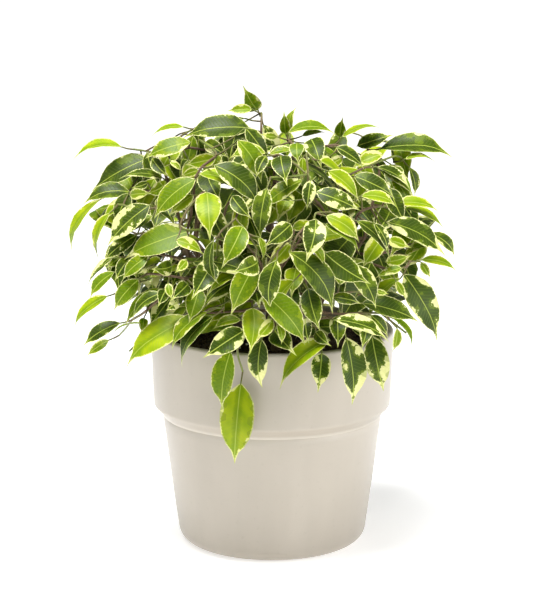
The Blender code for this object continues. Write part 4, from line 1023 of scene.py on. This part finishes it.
def turned(name, outline, sides):
    """An outline turned round the upright axis, from its foot out, over the lip and back in."""
    shape = bmesh.new()
    turns = [math.tau * side / sides for side in range(sides)]
    rings = [[shape.verts.new((x * math.cos(turn), x * math.sin(turn), z)) for turn in turns]
             for x, z in outline[1:-1]]
    foot, floor = [shape.verts.new((x, 0.0, z)) for x, z in (outline[0], outline[-1])]
    for side in range(sides):
        shape.faces.new((foot, rings[0][side], rings[0][side - 1]))
        for ring, following in zip(rings, rings[1:]):
            shape.faces.new((ring[side - 1], ring[side], following[side], following[side - 1]))
        shape.faces.new((rings[-1][side - 1], rings[-1][side], floor))
    mesh = bpy.data.meshes.new(name)
    shape.to_mesh(mesh)
    shape.free()
    return mesh


def rounded(centre_x, centre_z, radius, start, end, steps):
    """Points on an arc of a turned outline, angles in degrees."""
    for step in range(steps + 1):
        angle = math.radians(start + (end - start) * step / steps)
        yield centre_x + radius * math.cos(angle), centre_z + radius * math.sin(angle)


def area_light(name, place, size, power):
    """A soft oblong light that looks at the plant."""
    lamp = bpy.data.lights.new(name, "AREA")
    lamp.shape = "RECTANGLE"
    lamp.size, lamp.size_y = size
    lamp.energy = power
    holder = bpy.data.objects.new(name, lamp)
    holder.location = place
    aim = Vector(LAMP_TARGET) - Vector(place)
    holder.rotation_euler = aim.to_track_quat("-Z", "Y").to_euler()
    bpy.context.scene.collection.objects.link(holder)


def light_stage():
    """A white floor and sky, and large soft lights."""
    mesh = bpy.data.meshes.new("floor")
    corners = [(x, y, 0) for x, y in ((-1, -1), (1, -1), (1, 1), (-1, 1))]
    mesh.from_pydata([Vector(corner) * FLOOR_REACH for corner in corners], [], [(0, 1, 2, 3)])
    floor = bpy.data.objects.new("floor", mesh)
    bpy.context.scene.collection.objects.link(floor)
    made, net, shader = material("floor_paper", roughness=0.9, specular_ior_level=0.1,
                                 emission_strength=1.0)
    place = net.place()
    away = net.value("ShaderNodeVectorMath", {"operation": "LENGTH"}, {0: place}, "Value")
    glow = net.mix(away.ramp(*FLOOR_GLOW_SPREAD), *FLOOR_GLOW)
    net.link(glow, shader, "Emission Color")
    paper = net.mix(net.noise(place, *FLOOR_NOISE), *FLOOR_WHITE)
    net.link(paper, shader, "Base Color")
    mesh.materials.append(made)
    world = bpy.data.worlds.new("studio")
    world.use_nodes = True
    sky = world.node_tree.nodes["Background"]
    sky.inputs["Color"].default_value = (1.0, 1.0, 1.0, 1.0)
    sky.inputs["Strength"].default_value = SKY_STRENGTH
    bpy.context.scene.world = world
    for lamp in LAMPS:
        area_light(*lamp)


def place_camera():
    """The camera where the photographer stood."""
    lens = bpy.data.cameras.new("camera")
    lens.lens = LENS_MM
    lens.sensor_width = SENSOR_MM
    camera = bpy.data.objects.new("camera", lens)
    camera.location = EYE
    camera.rotation_euler = (math.pi / 2 - EYE_PITCH, 0.0, 0.0)
    bpy.context.scene.collection.objects.link(camera)
    bpy.context.scene.camera = camera
    bpy.context.scene.view_settings.view_transform = "Standard"


place_camera()
light_stage()
soil_look = soil_material("potting_soil", SOIL_DAMP)
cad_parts["soil"].data.materials.clear()
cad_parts["soil"].data.materials.append(soil_look)
turned_pot(glaze_material())
grow_stems(bark_material())
grow_sprays(leaf_material(), twig_material())
strew_soil()
